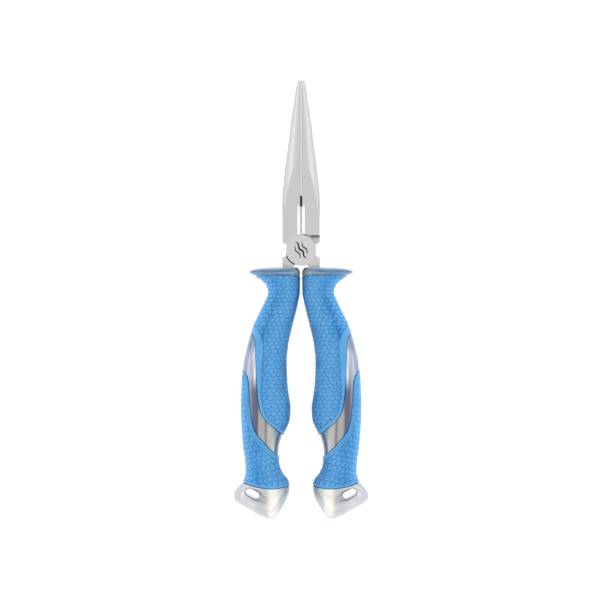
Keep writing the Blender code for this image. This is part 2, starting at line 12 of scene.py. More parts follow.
import bmesh
import bpy
import numpy as np
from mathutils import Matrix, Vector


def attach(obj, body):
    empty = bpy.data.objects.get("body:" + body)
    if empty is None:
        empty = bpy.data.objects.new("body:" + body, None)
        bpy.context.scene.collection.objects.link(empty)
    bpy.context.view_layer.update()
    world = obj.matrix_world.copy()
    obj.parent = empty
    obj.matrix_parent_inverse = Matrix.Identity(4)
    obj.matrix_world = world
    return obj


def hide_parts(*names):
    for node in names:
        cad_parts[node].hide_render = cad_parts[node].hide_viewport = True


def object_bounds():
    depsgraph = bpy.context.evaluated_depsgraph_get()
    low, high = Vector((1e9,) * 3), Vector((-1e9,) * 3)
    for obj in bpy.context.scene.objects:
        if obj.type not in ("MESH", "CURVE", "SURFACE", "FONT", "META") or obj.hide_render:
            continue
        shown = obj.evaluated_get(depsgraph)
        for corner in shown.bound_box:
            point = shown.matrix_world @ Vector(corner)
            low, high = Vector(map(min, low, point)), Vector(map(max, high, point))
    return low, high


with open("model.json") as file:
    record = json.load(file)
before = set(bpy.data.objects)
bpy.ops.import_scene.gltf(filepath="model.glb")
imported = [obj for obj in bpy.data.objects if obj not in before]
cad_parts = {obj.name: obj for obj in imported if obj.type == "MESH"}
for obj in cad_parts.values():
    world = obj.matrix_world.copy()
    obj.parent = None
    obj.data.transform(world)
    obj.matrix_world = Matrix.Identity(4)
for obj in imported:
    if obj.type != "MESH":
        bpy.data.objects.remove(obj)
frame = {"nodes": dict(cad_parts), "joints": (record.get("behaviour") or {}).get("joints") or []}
cad_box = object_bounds()

MM = 0.001
PIVOT = np.array(frame["joints"][0]["pos_m"]) / MM
BODY = {"right": "front_lever_body", "left": "back_lever_body"}

# Dimensions of the CAD part, in millimetres
JAW_REACH = 78.2
JOINT_HALF_WIDTH = 8.6
BOSS_RADIUS = 7.0
FACE_Z = 4.5
LAP_Z = 0.15
GAP = 0.3
BEYOND = 5.0
JAW_STATIONS = (
    (1.0, 8.6, 30.0), (13.8, 8.6, 26.0), (17.5, 8.6, 11.8), (20.3, 8.6, 9.2), (26.8, 8.35, 6.8),
    (32.3, 7.88, 5.8), (37.8, 7.25, 4.95), (48.9, 5.85, 4.1), (60.0, 4.5, 3.3), (71.1, 2.8, 2.5),
    (77.0, 1.85, 2.05), (JAW_REACH, 1.45, 1.7),
)
JAW_GAP_HALF = 0.18
SHOULDER_Y = 6.8
POCKET_RADIUS = 7.45
NOTCH_X, NOTCH_Y, NOTCH_CHAMFER = 6.85, 2.85, 0.55
CUTTER_LOW, CUTTER_HIGH = 7.25, 20.8
CUTTER_HALF_WIDTH, CUTTER_WALL_Z, CUTTER_EDGE_Z = 1.65, 2.3, 0.2
RELIEF_LOW, RELIEF_HIGH, RELIEF_HALF_WIDTH = 19.8, 25.4, 0.45
LIP_OVERLAP, LIP_HEIGHT = 0.3, 1.35
TEETH_LOW, TEETH_PITCH, TEETH_DEPTH, TEETH_COUNT = 28.0, 1.5, 0.35, 32
TEETH_HALF_Z = 1.4
TANG_HEAD = ((3.0, -5.0), (6.2, -1.5), (8.6, -1.5), (8.6, -7.2), (2.8, -7.2))
TANG_SHANK = ((3.2, -6.5), (8.3, -6.5), (9.7, -11.6), (4.1, -11.6))
SHANK_HALF_Z, TONGUE_HALF_Z = 4.2, 2.5
TONGUE_EDGES = (
    (-11.2, 4.3, 9.4), (-20.0, 5.2, 11.5), (-30.0, 8.6, 15.4), (-45.0, 12.0, 18.7), (-60.0, 13.6, 19.6),
    (-80.0, 13.6, 19.0), (-92.0, 15.4, 20.4), (-99.0, 15.8, 20.0),
)
TANG_PINS = ((15.9, -50.0), (16.5, -70.0))
PIN_BORE = 1.8
PIN_DEPTH = 5.7
RIVET_RADIUS, RIVET_HEAD_RADIUS, RIVET_HEAD_DEPTH, RIVET_END_Z = 2.5, 3.6, 1.2, 3.2
RUNNING_GAP = 0.1
HANDLE_STATIONS = (
    (-12.1, 0.45, 21.1, 9.0), (-13.6, 0.5, 18.7, 8.2), (-16.0, 0.55, 16.2, 7.5), (-19.4, 0.6, 15.15, 7.2),
    (-23.5, 1.3, 16.6, 7.2), (-28.0, 2.3, 18.8, 7.4), (-36.0, 4.3, 22.5, 7.8), (-44.0, 6.0, 24.95, 8.2),
    (-52.5, 6.65, 26.75, 8.4), (-61.0, 6.3, 27.45, 8.5), (-67.0, 5.65, 27.7, 8.5),
    (-73.0, 4.85, 27.78, 8.4), (-78.0, 5.2, 27.65, 8.2), (-85.0, 8.1, 27.25, 7.7), (-91.5, 9.8, 26.65, 7.3),
    (-97.5, 10.15, 25.8, 7.1), (-102.5, 8.6, 25.6, 7.6), (-106.0, 5.95, 26.6, 8.5),
    (-110.0, 4.9, 27.9, 9.3),
)
SECTION_POWER = 2.3
SLEEVE_THICKNESS = 1.1
CORE_INSET = 1.4
WINDOW_INSET = 0.5
UPPER_SLEEVE_EDGE = (
    (-1.0, -85.2), (-0.9, -84.4), (-0.5, -81.9), (-0.1, -79.0), (0.17, -74.8), (0.26, -70.6), (0.3, -65.3),
    (0.35, -58.3), (0.43, -50.5), (0.64, -42.0), (1.0, -37.6),
)
LOWER_SLEEVE_EDGE = (
    (-1.0, -95.2), (-0.85, -94.4), (-0.43, -91.5), (-0.04, -88.3), (0.3, -84.9), (0.47, -82.5),
    (0.6, -78.5), (0.65, -73.2), (0.7, -65.3), (0.78, -59.3), (1.0, -55.1),
)
CAP_EDGE = ((-1.0, -108.8), (-0.3, -109.9), (0.4, -109.0), (1.0, -107.1))
TOP_Y = -12.1
CORE_END_Y = -106.4
TENON = (11.0, 17.4, -111.0, 4.0)
GUARD_RINGS = (
    (-7.75, 4.5, 13.5, 3.0), (-7.95, 2.2, 17.8, 6.2), (-8.5, 1.1, 21.2, 8.2), (-9.2, 0.6, 23.2, 9.2),
    (-10.0, 0.4, 24.0, 9.5), (-10.7, 0.4, 23.6, 9.4), (-11.8, 0.5, 21.4, 9.1),
)
GUARD_SLOT = ((2.5, -6.0), (9.1, -6.0), (10.4, -13.0), (3.5, -13.0))
CAP_SECTIONS = (
    ((5.4, -111.2), (29.2, -109.3), 9.45), ((6.4, -114.3), (30.9, -112.0), 9.5),
    ((8.1, -117.7), (31.0, -114.3), 9.1), ((10.2, -120.9), (29.9, -115.9), 7.9),
    ((12.2, -123.2), (28.2, -117.1), 5.6), ((14.2, -124.2), (25.6, -118.7), 2.4),
)
CAP_BOTTOM = (20.0, -122.0)
CAP_TOP_MIDDLE = (16.0, -108.9)
LANYARD_CENTRE = (22.2, -111.9)
LANYARD_HALF_LENGTH, LANYARD_HALF_WIDTH = 3.5, 1.9
LANYARD_TILT = math.radians(28)
SCOOP_Z = 9.9
HOLE_TRIM = 0.3
SCOOP_TEAR = (
    (-9.6, 0.05, 0.05), (-8.0, 0.8, 1.1), (-5.0, 1.7, 2.2), (-1.0, 2.4, 3.1), (2.5, 2.3, 3.1),
    (4.2, 1.4, 2.2), (5.0, 0.05, 0.05),
)

COLUMNS = 360
MERGE, SLIVER, WELD = 0.0001, 0.003, 0.02
EDGE_RADIUS, COLLAR_INSET = 0.3, 0.35

# Linear colours by place. Sleeves: from the inner side to the outer, the blue with painted shade at the
# inner edge and in a band past the middle, and a painted highlight towards the outer side
SLEEVE_COLOURS_WITH_SHADE = (
    (0.0, (0.014, 0.12, 0.33)), (0.1, (0.04, 0.245, 0.56)), (0.34, (0.092, 0.345, 0.67)),
    (0.58, (0.034, 0.265, 0.61)), (0.7, (0.024, 0.24, 0.59)), (0.86, (0.07, 0.35, 0.74)),
    (1.0, (0.115, 0.47, 0.9)),
)
# Guards: from the lower edge to the top, bands of painted light and shade, with a pale painted highlight
# along the top
GUARD_COLOURS_WITH_LIGHT = (
    (0.0, (0.03, 0.12, 0.24)), (0.14, (0.05, 0.2, 0.38)), (0.3, (0.09, 0.25, 0.44)),
    (0.46, (0.035, 0.12, 0.24)), (0.66, (0.03, 0.14, 0.28)), (0.84, (0.12, 0.2, 0.33)),
    (1.0, (0.4, 0.44, 0.54)),
)
# The lower half of a window: from X 7 to 27, streaks that are partly flow marks in the pearl and partly
# painted reflections
LOW_WINDOW_COLOURS_WITH_REFLECTIONS = (
    (0.0, (0.06, 0.1, 0.18)), (0.09, (0.2, 0.23, 0.26)), (0.22, (0.11, 0.2, 0.3)),
    (0.31, (0.46, 0.45, 0.42)), (0.41, (0.48, 0.46, 0.43)), (0.46, (0.13, 0.14, 0.16)),
    (0.5, (0.37, 0.37, 0.35)), (0.61, (0.38, 0.37, 0.35)), (0.66, (0.06, 0.07, 0.14)),
    (0.75, (0.07, 0.08, 0.16)), (0.82, (0.24, 0.26, 0.38)), (1.0, (0.22, 0.27, 0.4)),
)
# The upper half of a window: from X 19.8 to 25.8, with a cream painted highlight near the upper sleeve's
# edge
HIGH_WINDOW_COLOURS_WITH_HIGHLIGHT = (
    (0.0, (0.4, 0.38, 0.36)), (0.25, (0.82, 0.8, 0.76)), (0.45, (0.3, 0.32, 0.42)),
    (0.7, (0.36, 0.4, 0.52)), (1.0, (0.22, 0.28, 0.42)),
)
# Butt caps: from X 4 to 31, with a cream painted highlight band at X 9 to 12
CAP_COLOURS_WITH_HIGHLIGHT = (
    (0.0, (0.22, 0.28, 0.31)), (0.1, (0.38, 0.44, 0.48)), (0.19, (0.86, 0.83, 0.74)),
    (0.3, (0.9, 0.87, 0.78)), (0.42, (0.5, 0.51, 0.5)), (0.6, (0.44, 0.45, 0.48)),
    (0.8, (0.58, 0.58, 0.64)), (1.0, (0.5, 0.52, 0.57)),
)


# Curves and rings


def smooth_through(points):
    """A function of the first number of each point, smooth through the others and free of overshoot."""
    table = np.array(sorted(points, key=lambda row: row[0]), float)
    at, values = table[:, 0], table[:, 1:]
    slopes = np.diff(values, axis=0) / np.diff(at)[:, None]
    before, after = slopes[:-1], slopes[1:]
    same_way = before * after > 0
    mean = np.divide(2 * before * after, before + after, out=np.zeros_like(before), where=same_way)
    tangents = np.vstack([slopes[:1], mean, slopes[-1:]])

    def value(place):
        place = np.clip(np.asarray(place, float), at[0], at[-1])
        i = np.clip(np.searchsorted(at, place) - 1, 0, len(at) - 2)
        h = at[i + 1] - at[i]
        t = (place - at[i]) / h
        rise = t * t * (3 - 2 * t)
        weights = (1 - rise, rise, t * (1 - t) ** 2 * h, t * t * (t - 1) * h)
        parts = (values[i], values[i + 1], tangents[i], tangents[i + 1])
        found = sum(weight[..., None] * part for weight, part in zip(weights, parts))
        return found if values.shape[1] > 1 else found[..., 0]

    return value


handle_at = smooth_through(HANDLE_STATIONS)
upper_edge_at = smooth_through(UPPER_SLEEVE_EDGE)
lower_edge_at = smooth_through(LOWER_SLEEVE_EDGE)
cap_edge_at = smooth_through(CAP_EDGE)
jaw_at = smooth_through(JAW_STATIONS)


def unit_ring(count):
    """Points of the unit superellipse: the first is the outer side, and the front comes next."""
    angles = 2 * np.pi * np.arange(count) / count
    power = 2 / SECTION_POWER
    cos, sin = np.cos(angles), np.sin(angles)
    return np.sign(cos) * np.abs(cos) ** power, np.sign(sin) * np.abs(sin) ** power


ACROSS, DEEP = unit_ring(COLUMNS)


def span(inner, outer):
    """The middle between two limits, and half the way across."""
    return (inner + outer) / 2, (outer - inner) / 2


def edge_lean(edge_at):
    """How steeply a sleeve's edge crosses the front, by column."""
    low, high = np.maximum(ACROSS - 0.04, -1), np.minimum(ACROSS + 0.04, 1)
    found = handle_at(edge_at(ACROSS))
    return (edge_at(high) - edge_at(low)) / (0.5 * (found[:, 1] - found[:, 0]) * (high - low))


def edge_height(edge_at, clearance=0.0):
    """A sleeve's edge by column, moved up by a clearance that is measured square to the edge."""
    return edge_at(ACROSS) + clearance * np.sqrt(1 + edge_lean(edge_at) ** 2)


def skin(y, inset=0.0):
    """Points of the handle's skin, or of a surface this far inside it, for rows of heights by column."""
    y = np.broadcast_to(np.asarray(y, float), (len(y), COLUMNS))
    found = handle_at(y)
    middle, half = span(found[..., 0], found[..., 1])
    return np.stack([middle + (half - inset) * ACROSS, y, (found[..., 2] - inset) * DEEP], axis=-1)


def rows_between(top, bottom, shares):
    """Heights by row and column, these shares of the way from one edge to another."""
    shares = np.asarray(shares, float)[:, None]
    return top + (bottom - top) * shares


def outward(grid):
    """Normals of a closed grid of rings, pointing away from their middle."""
    round_it = np.roll(grid, -1, axis=1) - np.roll(grid, 1, axis=1)
    along = np.gradient(grid, axis=0)
    normal = np.cross(round_it, along)
    normal /= np.maximum(np.linalg.norm(normal, axis=-1, keepdims=True), 1e-9)
    away = grid - grid.mean(axis=1, keepdims=True)
    away[..., 1] = 0
    turned = np.sign(np.sum(normal * away, axis=-1, keepdims=True))
    return normal * np.where(turned == 0, 1, turned)


def soft_step(value, low, high):
    t = np.clip((value - low) / (high - low), 0, 1)
    return t * t * (3 - 2 * t)


def ring_shares(count, fine_start, fine_end):
    """Shares from 0 to 1, closer together near both ends, where the edges are rounded."""
    fine = np.array([0.1, 0.25, 0.45, 0.7])
    return np.unique(np.concatenate([np.linspace(0, 1, count), fine * fine_start, 1 - fine * fine_end]))


# Meshes


def placed(name, data):
    """A new object in the scene."""
    made = bpy.data.objects.new(name, data)
    bpy.context.scene.collection.objects.link(made)
    return made


def mesh_of(name, points, faces):
    mesh = bpy.data.meshes.new(name)
    mesh.from_pydata(np.asarray(points, float).reshape(-1, 3).tolist(), [], faces)
    return mesh


def loft(name, rings, ends=None):
    """A closed skin over rings of the same length. With no end points the last ring joins the first."""
    rings = np.asarray(rings, float)
    ring_count, count = rings.shape[:2]
    index = np.arange(ring_count * count).reshape(ring_count, count)
    lower = index if ends is None else index[:-1]
    upper = np.roll(index, -1, axis=0) if ends is None else index[1:]
    quads = np.stack([lower, np.roll(lower, -1, axis=1), np.roll(upper, -1, axis=1), upper], axis=-1)
    faces = quads.reshape(-1, 4).tolist()
    points = rings.reshape(-1, 3).tolist()
    if ends is not None:
        for ring, tip in ((0, ends[0]), (ring_count - 1, ends[1])):
            points.append(list(tip))
            around = index[ring].tolist()
            faces += [(a, b, len(points) - 1) for a, b in zip(around, around[1:] + around[:1])]
    return recalculated(mesh_of(name, points, faces))


def recalculated(mesh):
    solid = bmesh.new()
    solid.from_mesh(mesh)
    bmesh.ops.remove_doubles(solid, verts=solid.verts, dist=MERGE)
    bmesh.ops.recalc_face_normals(solid, faces=solid.faces)
    solid.to_mesh(mesh)
    solid.free()
    return mesh


def prism(outline, low, high, along_y=False):
    """A tool with a flat outline and straight walls. It stands along Z or Y."""
    solid = bmesh.new()
    for z in (low, high):
        corners = [(x, z, y) if along_y else (x, y, z) for x, y in outline]
        solid.faces.new([solid.verts.new(corner) for corner in corners])
    verts = list(solid.verts)
    half = len(outline)
    for k in range(half):
        n = (k + 1) % half
        solid.faces.new((verts[k], verts[n], verts[half + n], verts[half + k]))
    bmesh.ops.triangulate(solid, faces=[face for face in solid.faces if len(face.verts) > 4])
    bmesh.ops.recalc_face_normals(solid, faces=solid.faces)
    mesh = bpy.data.meshes.new("prism")
    solid.to_mesh(mesh)
    solid.free()
    return mesh


def turned(profile, centre=(0, 0), segments=96):
    """A round piece standing along Z, turned from (radius, height) points that start and end on its axis."""
    angles = 2 * np.pi * np.arange(segments) / segments
    circle = np.column_stack([np.cos(angles), np.sin(angles)])
    rings = [np.column_stack([centre + r * circle, np.full(segments, z)]) for r, z in profile[1:-1]]
    return loft("turned", rings, ((*centre, profile[0][1]), (*centre, profile[-1][1])))


def drill(radius, low, high, centre=(0, 0), segments=64):
    return turned(((0, low), (radius, low), (radius, high), (0, high)), centre, segments)


def box_outline(low_x, high_x, low_y, high_y):
    return [(low_x, low_y), (high_x, low_y), (high_x, high_y), (low_x, high_y)]


def carved(mesh, steps, bevel=None):
    """The mesh after boolean steps of (operation, tool), with edges rounded by (width, angle, segments)."""
    made = placed("carved", mesh)
    tools = []
    for operation, tool_mesh in steps:
        tool = placed("tool", tool_mesh)
        tool.hide_render = True
        tools.append(tool)
        modifier = made.modifiers.new("step", "BOOLEAN")
        modifier.operation, modifier.object, modifier.solver = operation, tool, "MANIFOLD"
    if bevel is not None:
        made.modifiers.new("weld", "WELD").merge_threshold = WELD
        width, angle, segments = bevel
        modifier = made.modifiers.new("bevel", "BEVEL")
        modifier.width, modifier.segments = width, segments
        modifier.limit_method, modifier.angle_limit = "ANGLE", math.radians(angle)
        modifier.use_clamp_overlap = modifier.loop_slide = False
        modifier.miter_outer = "MITER_ARC"
    bpy.context.view_layer.update()
    found = bpy.data.meshes.new_from_object(made.evaluated_get(bpy.context.evaluated_depsgraph_get()))
    for old in (made, *tools):
        data = old.data
        bpy.data.objects.remove(old)
        bpy.data.meshes.remove(data)
    return found


def cuts(*tools):
    return [("DIFFERENCE", tool) for tool in tools]


def cleaned(mesh):
    """The mesh without the slivers and doubled faces that boolean steps can leave."""
    solid = bmesh.new()
    solid.from_mesh(mesh)
    bmesh.ops.remove_doubles(solid, verts=solid.verts, dist=SLIVER)
    bmesh.ops.dissolve_degenerate(solid, edges=solid.edges, dist=SLIVER)
    seen = {}
    for face in solid.faces:
        seen.setdefault(frozenset(face.verts), []).append(face)
    doubled = [face for faces in seen.values() if len(faces) > 1 for face in faces]
    bmesh.ops.delete(solid, geom=doubled, context="FACES")
    loose = [vert for vert in solid.verts if not vert.link_faces]
    bmesh.ops.delete(solid, geom=loose, context="VERTS")
    solid.to_mesh(mesh)
    solid.free()
    return mesh


def points_of(mesh):
    points = np.zeros(len(mesh.vertices) * 3, np.float32)
    mesh.vertices.foreach_get("co", points)
    return points.reshape(-1, 3)


def publish(name, mesh, side, surface, stands_for, marks=None, sharp=30, weighted=False):
    """Put a millimetre mesh in the scene on its body, as the piece that stands for these CAD nodes."""
    mesh.update()
    local = points_of(mesh)
    lean = np.zeros(local.size, np.float32)
    mesh.vertex_normals.foreach_get("vector", lean)
    for key, values in (("place", local.ravel()), ("lean", lean)):
        made = mesh.attributes.new(key, "FLOAT_VECTOR", "POINT")
        made.data.foreach_set("vector", values)
    for key, values in (marks or {}).items():
        made = mesh.attributes.new(key, "FLOAT", "POINT")
        made.data.foreach_set("value", np.asarray(values, np.float32).ravel())
    turn = np.array([1, 1, 1]) if side == "right" else np.array([-1, 1, -1])
    world = (local * turn + PIVOT) * MM
    mesh.vertices.foreach_set("co", world.astype(np.float32).ravel())
    mesh.materials.clear()
    mesh.materials.append(surface)
    mesh.update()
    mesh.shade_smooth()
    mesh.set_sharp_from_angle(angle=math.radians(sharp))
    mesh.name = name
    piece = placed(name, mesh)
    if weighted:
        modifier = piece.modifiers.new("flat_faces", "WEIGHTED_NORMAL")
        modifier.keep_sharp = True
        modifier.weight = 80
    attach(piece, BODY[side])
    if stands_for:
        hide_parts(*stands_for)
    return piece


# Materials


class Paint:
    """One procedural material, with short names for the nodes it needs."""

    def __init__(self, name, **sockets):
        self.material = bpy.data.materials.new(name)
        self.material.use_nodes = True
        self.tree = self.material.node_tree
        self.shader = self.tree.nodes["Principled BSDF"]
        for key, value in sockets.items():
            self.set(self.shader.inputs[key.replace("_", " ")], value)

    def set(self, socket, value):
        if isinstance(value, bpy.types.NodeSocket):
            self.tree.links.new(value, socket)
        elif isinstance(value, (tuple, list)) and len(value) == 3 and socket.type == "RGBA":
            socket.default_value = (*value, 1)
        else:
            socket.default_value = value

    def node(self, kind, inputs, output=0, **settings):
        made = self.tree.nodes.new(kind)
        for key, value in settings.items():
            setattr(made, key, value)
        for key, value in inputs.items():
            self.set(made.inputs[key], value)
        return made.outputs[output]

    def attribute(self, name, output="Vector"):
        return self.node("ShaderNodeAttribute", {}, output, attribute_name=name)

    def mark(self, name):
        return self.attribute(name, "Fac")

    def axis(self, vector, which):
        return self.node("ShaderNodeSeparateXYZ", {0: vector}, which)

    def math(self, operation, first, second=0.0, third=0.0):
        return self.node("ShaderNodeMath", {0: first, 1: second, 2: third}, operation=operation)

    def range(self, value, low, high, to_low=0.0, to_high=1.0):
        """A smooth step of the value between two limits."""
        return self.node(
            "ShaderNodeMapRange",
            {0: value, 1: low, 2: high, 3: to_low, 4: to_high},
            interpolation_type="SMOOTHSTEP",
        )

    def inside(self, value, low, high, soft):
        """1 where the value lies between two limits, with soft ends."""
        return self.math(
            "MULTIPLY",
            self.range(value, low - soft, low + soft),
            self.range(value, high - soft, high + soft, 1.0, 0.0),
        )

    def all_of(self, *masks):
        found = masks[0]
        for other in masks[1:]:
            found = self.math("MULTIPLY", found, other)
        return found

    def stretched(self, vector, scale):
        return self.node("ShaderNodeVectorMath", {0: vector, 1: scale}, operation="MULTIPLY")

    def noise(self, vector, scale, detail=3.0, roughness=0.55):
        return self.node(
            "ShaderNodeTexNoise",
            {"Vector": vector, "Scale": scale, "Detail": detail, "Roughness": roughness},
            "Fac",
        )

    def ramp(self, value, stops):
        made = self.tree.nodes.new("ShaderNodeValToRGB")
        self.set(made.inputs[0], value)
        elements = made.color_ramp.elements
        while len(elements) > 1:
            elements.remove(elements[-1])
        for k, (at, colour) in enumerate(stops):
            element = elements[0] if k == 0 else elements.new(at)
            element.position = at
            element.color = (*colour, 1)
        return made.outputs[0]

    def mix(self, amount, first, second):
        made = self.tree.nodes.new("ShaderNodeMix")
        made.data_type = "RGBA"
        self.set(made.inputs[0], amount)
        self.set(made.inputs[6], first)
        self.set(made.inputs[7], second)
        return made.outputs[2]

    def over(self, base, mask, colour, share):
        """The base with a colour laid over it, as far as this share of the mask."""
        return self.mix(self.math("MULTIPLY", mask, share), base, colour)

    def fade(self, base, value, low, high, share, colour):
        """The base, fading to this share of a colour as the value goes from low to high."""
        return self.mix(self.range(value, low, high, 0.0, share), base, colour)

    def bump(self, height, distance, strength):
        inputs = {"Height": height, "Distance": distance * MM, "Strength": strength}
        self.wear("Normal", self.node("ShaderNodeBump", inputs))

    def wear(self, socket, value):
        self.set(self.shader.inputs[socket], value)

    def pearly(self, base, flakes, spread, roughness, height):
        """Finish a pearl plastic, whose flakes show in its gloss and its relief."""
        self.wear("Base Color", base)
        self.wear("Roughness", self.math("MULTIPLY_ADD", flakes, spread, roughness))
        self.bump(flakes, height, 0.5)
        return self.material


def steel_paint(name, colour, roughness):
    """Satin forged steel, with a painted highlight that glows on the ground cutters, and painted shade on
    the jaws' steep sides, along the jaw gap, at the boss's gap and the shoulder, and black in the relief
    slot.
    """
    paint = Paint(name, Metallic=1.0)
    place = paint.attribute("place")
    x, y, z = (paint.axis(place, k) for k in range(3))
    side_x, side_z = paint.math("ABSOLUTE", x), paint.math("ABSOLUTE", z)
    level = paint.math("ABSOLUTE", paint.axis(paint.attribute("lean"), 2))
    radius = paint.math("SQRT", paint.math("ADD", paint.math("POWER", x, 2.0), paint.math("POWER", y, 2.0)))
    clouds = paint.noise(place, 0.35, 3.0)
    grain = paint.noise(place, 9.0, 4.0, 0.7)
    brushed = paint.noise(paint.stretched(place, (6.0, 0.5, 6.0)), 1.0, 4.0, 0.6)
    shade = paint.mix(clouds, tuple(c * 0.97 for c in colour), tuple(c * 1.03 for c in colour))
    shade = paint.over(shade, grain, tuple(c * 0.8 for c in colour), 0.12)

    on_boss = paint.all_of(paint.range(radius, 7.05, 6.95), paint.range(z, 4.3, 4.4))
    shade = paint.mix(on_boss, shade, tuple(c * 1.06 for c in colour))
    # Painted highlight: the ground cutters are painted near-white and made to glow, in place of their bright
    # reflection.
    cutter_highlight = paint.all_of(
        paint.inside(side_x, 0.44, CUTTER_HALF_WIDTH - 0.02, 0.02),
        paint.inside(y, CUTTER_LOW, CUTTER_HIGH + 0.02, 0.02),
        paint.range(side_z, 0.15, 0.25),
    )
    shade = paint.mix(cutter_highlight, shade, (0.99, 0.99, 0.99))
    # Painted shade: the jaw gap between the cutters is painted near-black.
    land = paint.all_of(paint.range(side_x, 0.46, 0.42), paint.inside(y, CUTTER_LOW, CUTTER_HIGH, 0.02))
    shade = paint.mix(land, shade, (0.05, 0.05, 0.05))
    # Painted shade: dark lines along both sides of the jaw gap above the relief slot.
    gap_side_shade = paint.all_of(paint.range(side_x, 0.6, 0.45), paint.range(y, RELIEF_HIGH, RELIEF_HIGH + 0.1))
    shade = paint.over(shade, gap_side_shade, (0.2, 0.2, 0.2), 0.45)
    # Painted shade: the relief slot's walls are painted near-black.
    slot = paint.all_of(
        paint.range(side_x, RELIEF_HALF_WIDTH + 0.03, RELIEF_HALF_WIDTH + 0.01),
        paint.inside(y, RELIEF_LOW - 0.05, RELIEF_HIGH + 0.05, 0.02),
        paint.range(side_z, FACE_Z - 0.02, FACE_Z - 0.15),
    )
    # Painted shade: the boss's wall on the handle side is painted near-black, as the dark gap round the
    # boss.
    boss_gap_shade = paint.all_of(
        paint.inside(radius, BOSS_RADIUS - 0.04, POCKET_RADIUS + 0.06, 0.02),
        paint.range(side_z, FACE_Z - 0.02, FACE_Z - 0.4),
        paint.range(y, -0.5, -1.5),
    )
    # Painted shade on the lower step, darkest along the foot of the shoulder's wall.
    corner = paint.all_of(
        paint.range(y, SHOULDER_Y - 2.6, SHOULDER_Y),
        paint.range(y, SHOULDER_Y + 0.02, SHOULDER_Y - 0.02),
        paint.range(side_z, 0.3, 0.2),
        paint.range(side_x, 4.0, 5.0),
    )
    shade = paint.mix(paint.math("POWER", corner, 2.0), shade, (0.12, 0.12, 0.12))
    # The painted cutter highlight is less metallic and glows through its emission.
    paint.wear("Metallic", paint.math("MULTIPLY_ADD", cutter_highlight, -0.7, 1.0))
    paint.wear("Emission Color", (1.0, 1.0, 1.0))
    paint.wear("Emission Strength", paint.math("MULTIPLY", cutter_highlight, 0.38))
    # Painted shade: the steep sides of the jaws darken, as a dark outline.
    edge_shade = paint.all_of(paint.range(level, 0.45, 0.1), paint.range(y, 12.0, 20.0))
    shade = paint.over(shade, edge_shade, (0.18, 0.18, 0.18), 0.85)
    # The painted shade of the relief slot and the boss's gap: near-black, and rougher.
    hollow = paint.math("MAXIMUM", slot, boss_gap_shade)
    shade = paint.mix(hollow, shade, (0.015, 0.015, 0.016))
    paint.wear("Base Color", shade)
    rough = paint.math("ADD", paint.math("MULTIPLY", brushed, 0.1), roughness - 0.05)
    paint.wear("Roughness", paint.math("ADD", rough, paint.math("MULTIPLY", hollow, 0.4)))
    fine = paint.math("ADD", paint.math("MULTIPLY", brushed, 0.6), paint.math("MULTIPLY", grain, 0.4))
    fine = paint.math("MULTIPLY", fine, paint.math("SUBTRACT", 1.0, cutter_highlight))
    paint.bump(fine, 0.01, 0.5)
    return paint.material


def sleeve_paint(name):
    """Soft moulded grip: a satin blue with painted shade in the grooves round the scales and a paler smooth
    rim. Across the sleeve the blue has painted shade at the inner edge and in a band past the middle, and a
    painted highlight towards the outer side.
    """
    paint = Paint(name, IOR=1.45, Specular_IOR_Level=0.45, Sheen_Weight=0.06, Sheen_Roughness=0.5)
    place = paint.attribute("place")
    line, rim, tint = (paint.mark(key) for key in ("groove", "rim", "tint"))
    across = paint.mark("across")
    clouds = paint.noise(place, 0.12, 3.0)
    grain = paint.noise(place, 7.0, 3.0, 0.6)
    # The blue across the sleeve, with its painted shade and highlight.
    base = paint.ramp(paint.math("MULTIPLY_ADD", across, 0.5, 0.5), SLEEVE_COLOURS_WITH_SHADE)
    base = paint.fade(base, clouds, 0.42, 0.62, 0.6, (0.095, 0.35, 0.67))
    base = paint.over(base, tint, (0.11, 0.38, 0.69), 0.3)
    base = paint.over(base, rim, (0.095, 0.365, 0.71), 0.6)
    # Painted shade in the grooves round the scales and along the rim's seams.
    base = paint.over(base, line, (0.004, 0.075, 0.25), 0.9)
    paint.wear("Base Color", base)
    rough = paint.math("MULTIPLY_ADD", grain, 0.12, 0.4)
    rough = paint.math("SUBTRACT", rough, paint.math("MULTIPLY", rim, 0.08))
    paint.wear("Roughness", paint.math("ADD", rough, paint.math("MULTIPLY", line, 0.2)))
    paint.bump(grain, 0.012, 0.6)
    return paint.material


def guard_paint(name):
    """Pearly blue moulded plastic with swirls of flakes. Its pale upper side, a whitish streak in the lower
    half, a bright inner end and a dark outer tip are painted highlight, reflection and shade.
    """
    paint = Paint(name, Metallic=0.35, Coat_Weight=0.8, Coat_Roughness=0.06)
    place, lean = paint.attribute("place"), paint.attribute("lean")
    x, y, up = paint.axis(place, 0), paint.axis(place, 1), paint.axis(lean, 1)
    swirl = paint.noise(paint.stretched(place, (0.12, 0.6, 0.12)), 1.6, 3.0)
    flakes = paint.noise(place, 14.0, 2.0, 0.8)
    base = paint.ramp(paint.range(y, -11.9, -7.7), GUARD_COLOURS_WITH_LIGHT)
    base = paint.fade(base, swirl, 0.48, 0.66, 0.6, (0.16, 0.22, 0.36))
    base = paint.over(base, flakes, (0.3, 0.44, 0.6), 0.12)
    # Painted highlight: the faces turned towards the jaws are paler.
    base = paint.fade(base, up, 0.6, 0.98, 0.5, (0.46, 0.48, 0.58))
    # Painted reflection: a whitish streak across the lower half of the guard.
    painted_reflection = paint.all_of(paint.inside(x, 4.0, 10.0, 3.0), paint.inside(y, -10.75, -10.35, 0.2))
    base = paint.over(base, painted_reflection, (0.45, 0.52, 0.6), 0.5)
    # Painted highlight at the inner end; painted shade with a purple reflection tint at the outer tip.
    base = paint.fade(base, x, 4.5, 1.5, 0.7, (0.42, 0.45, 0.4))
    base = paint.fade(base, x, 22.4, 23.9, 0.7, (0.2, 0.14, 0.24))
    return paint.pearly(base, flakes, 0.1, 0.2, 0.004)


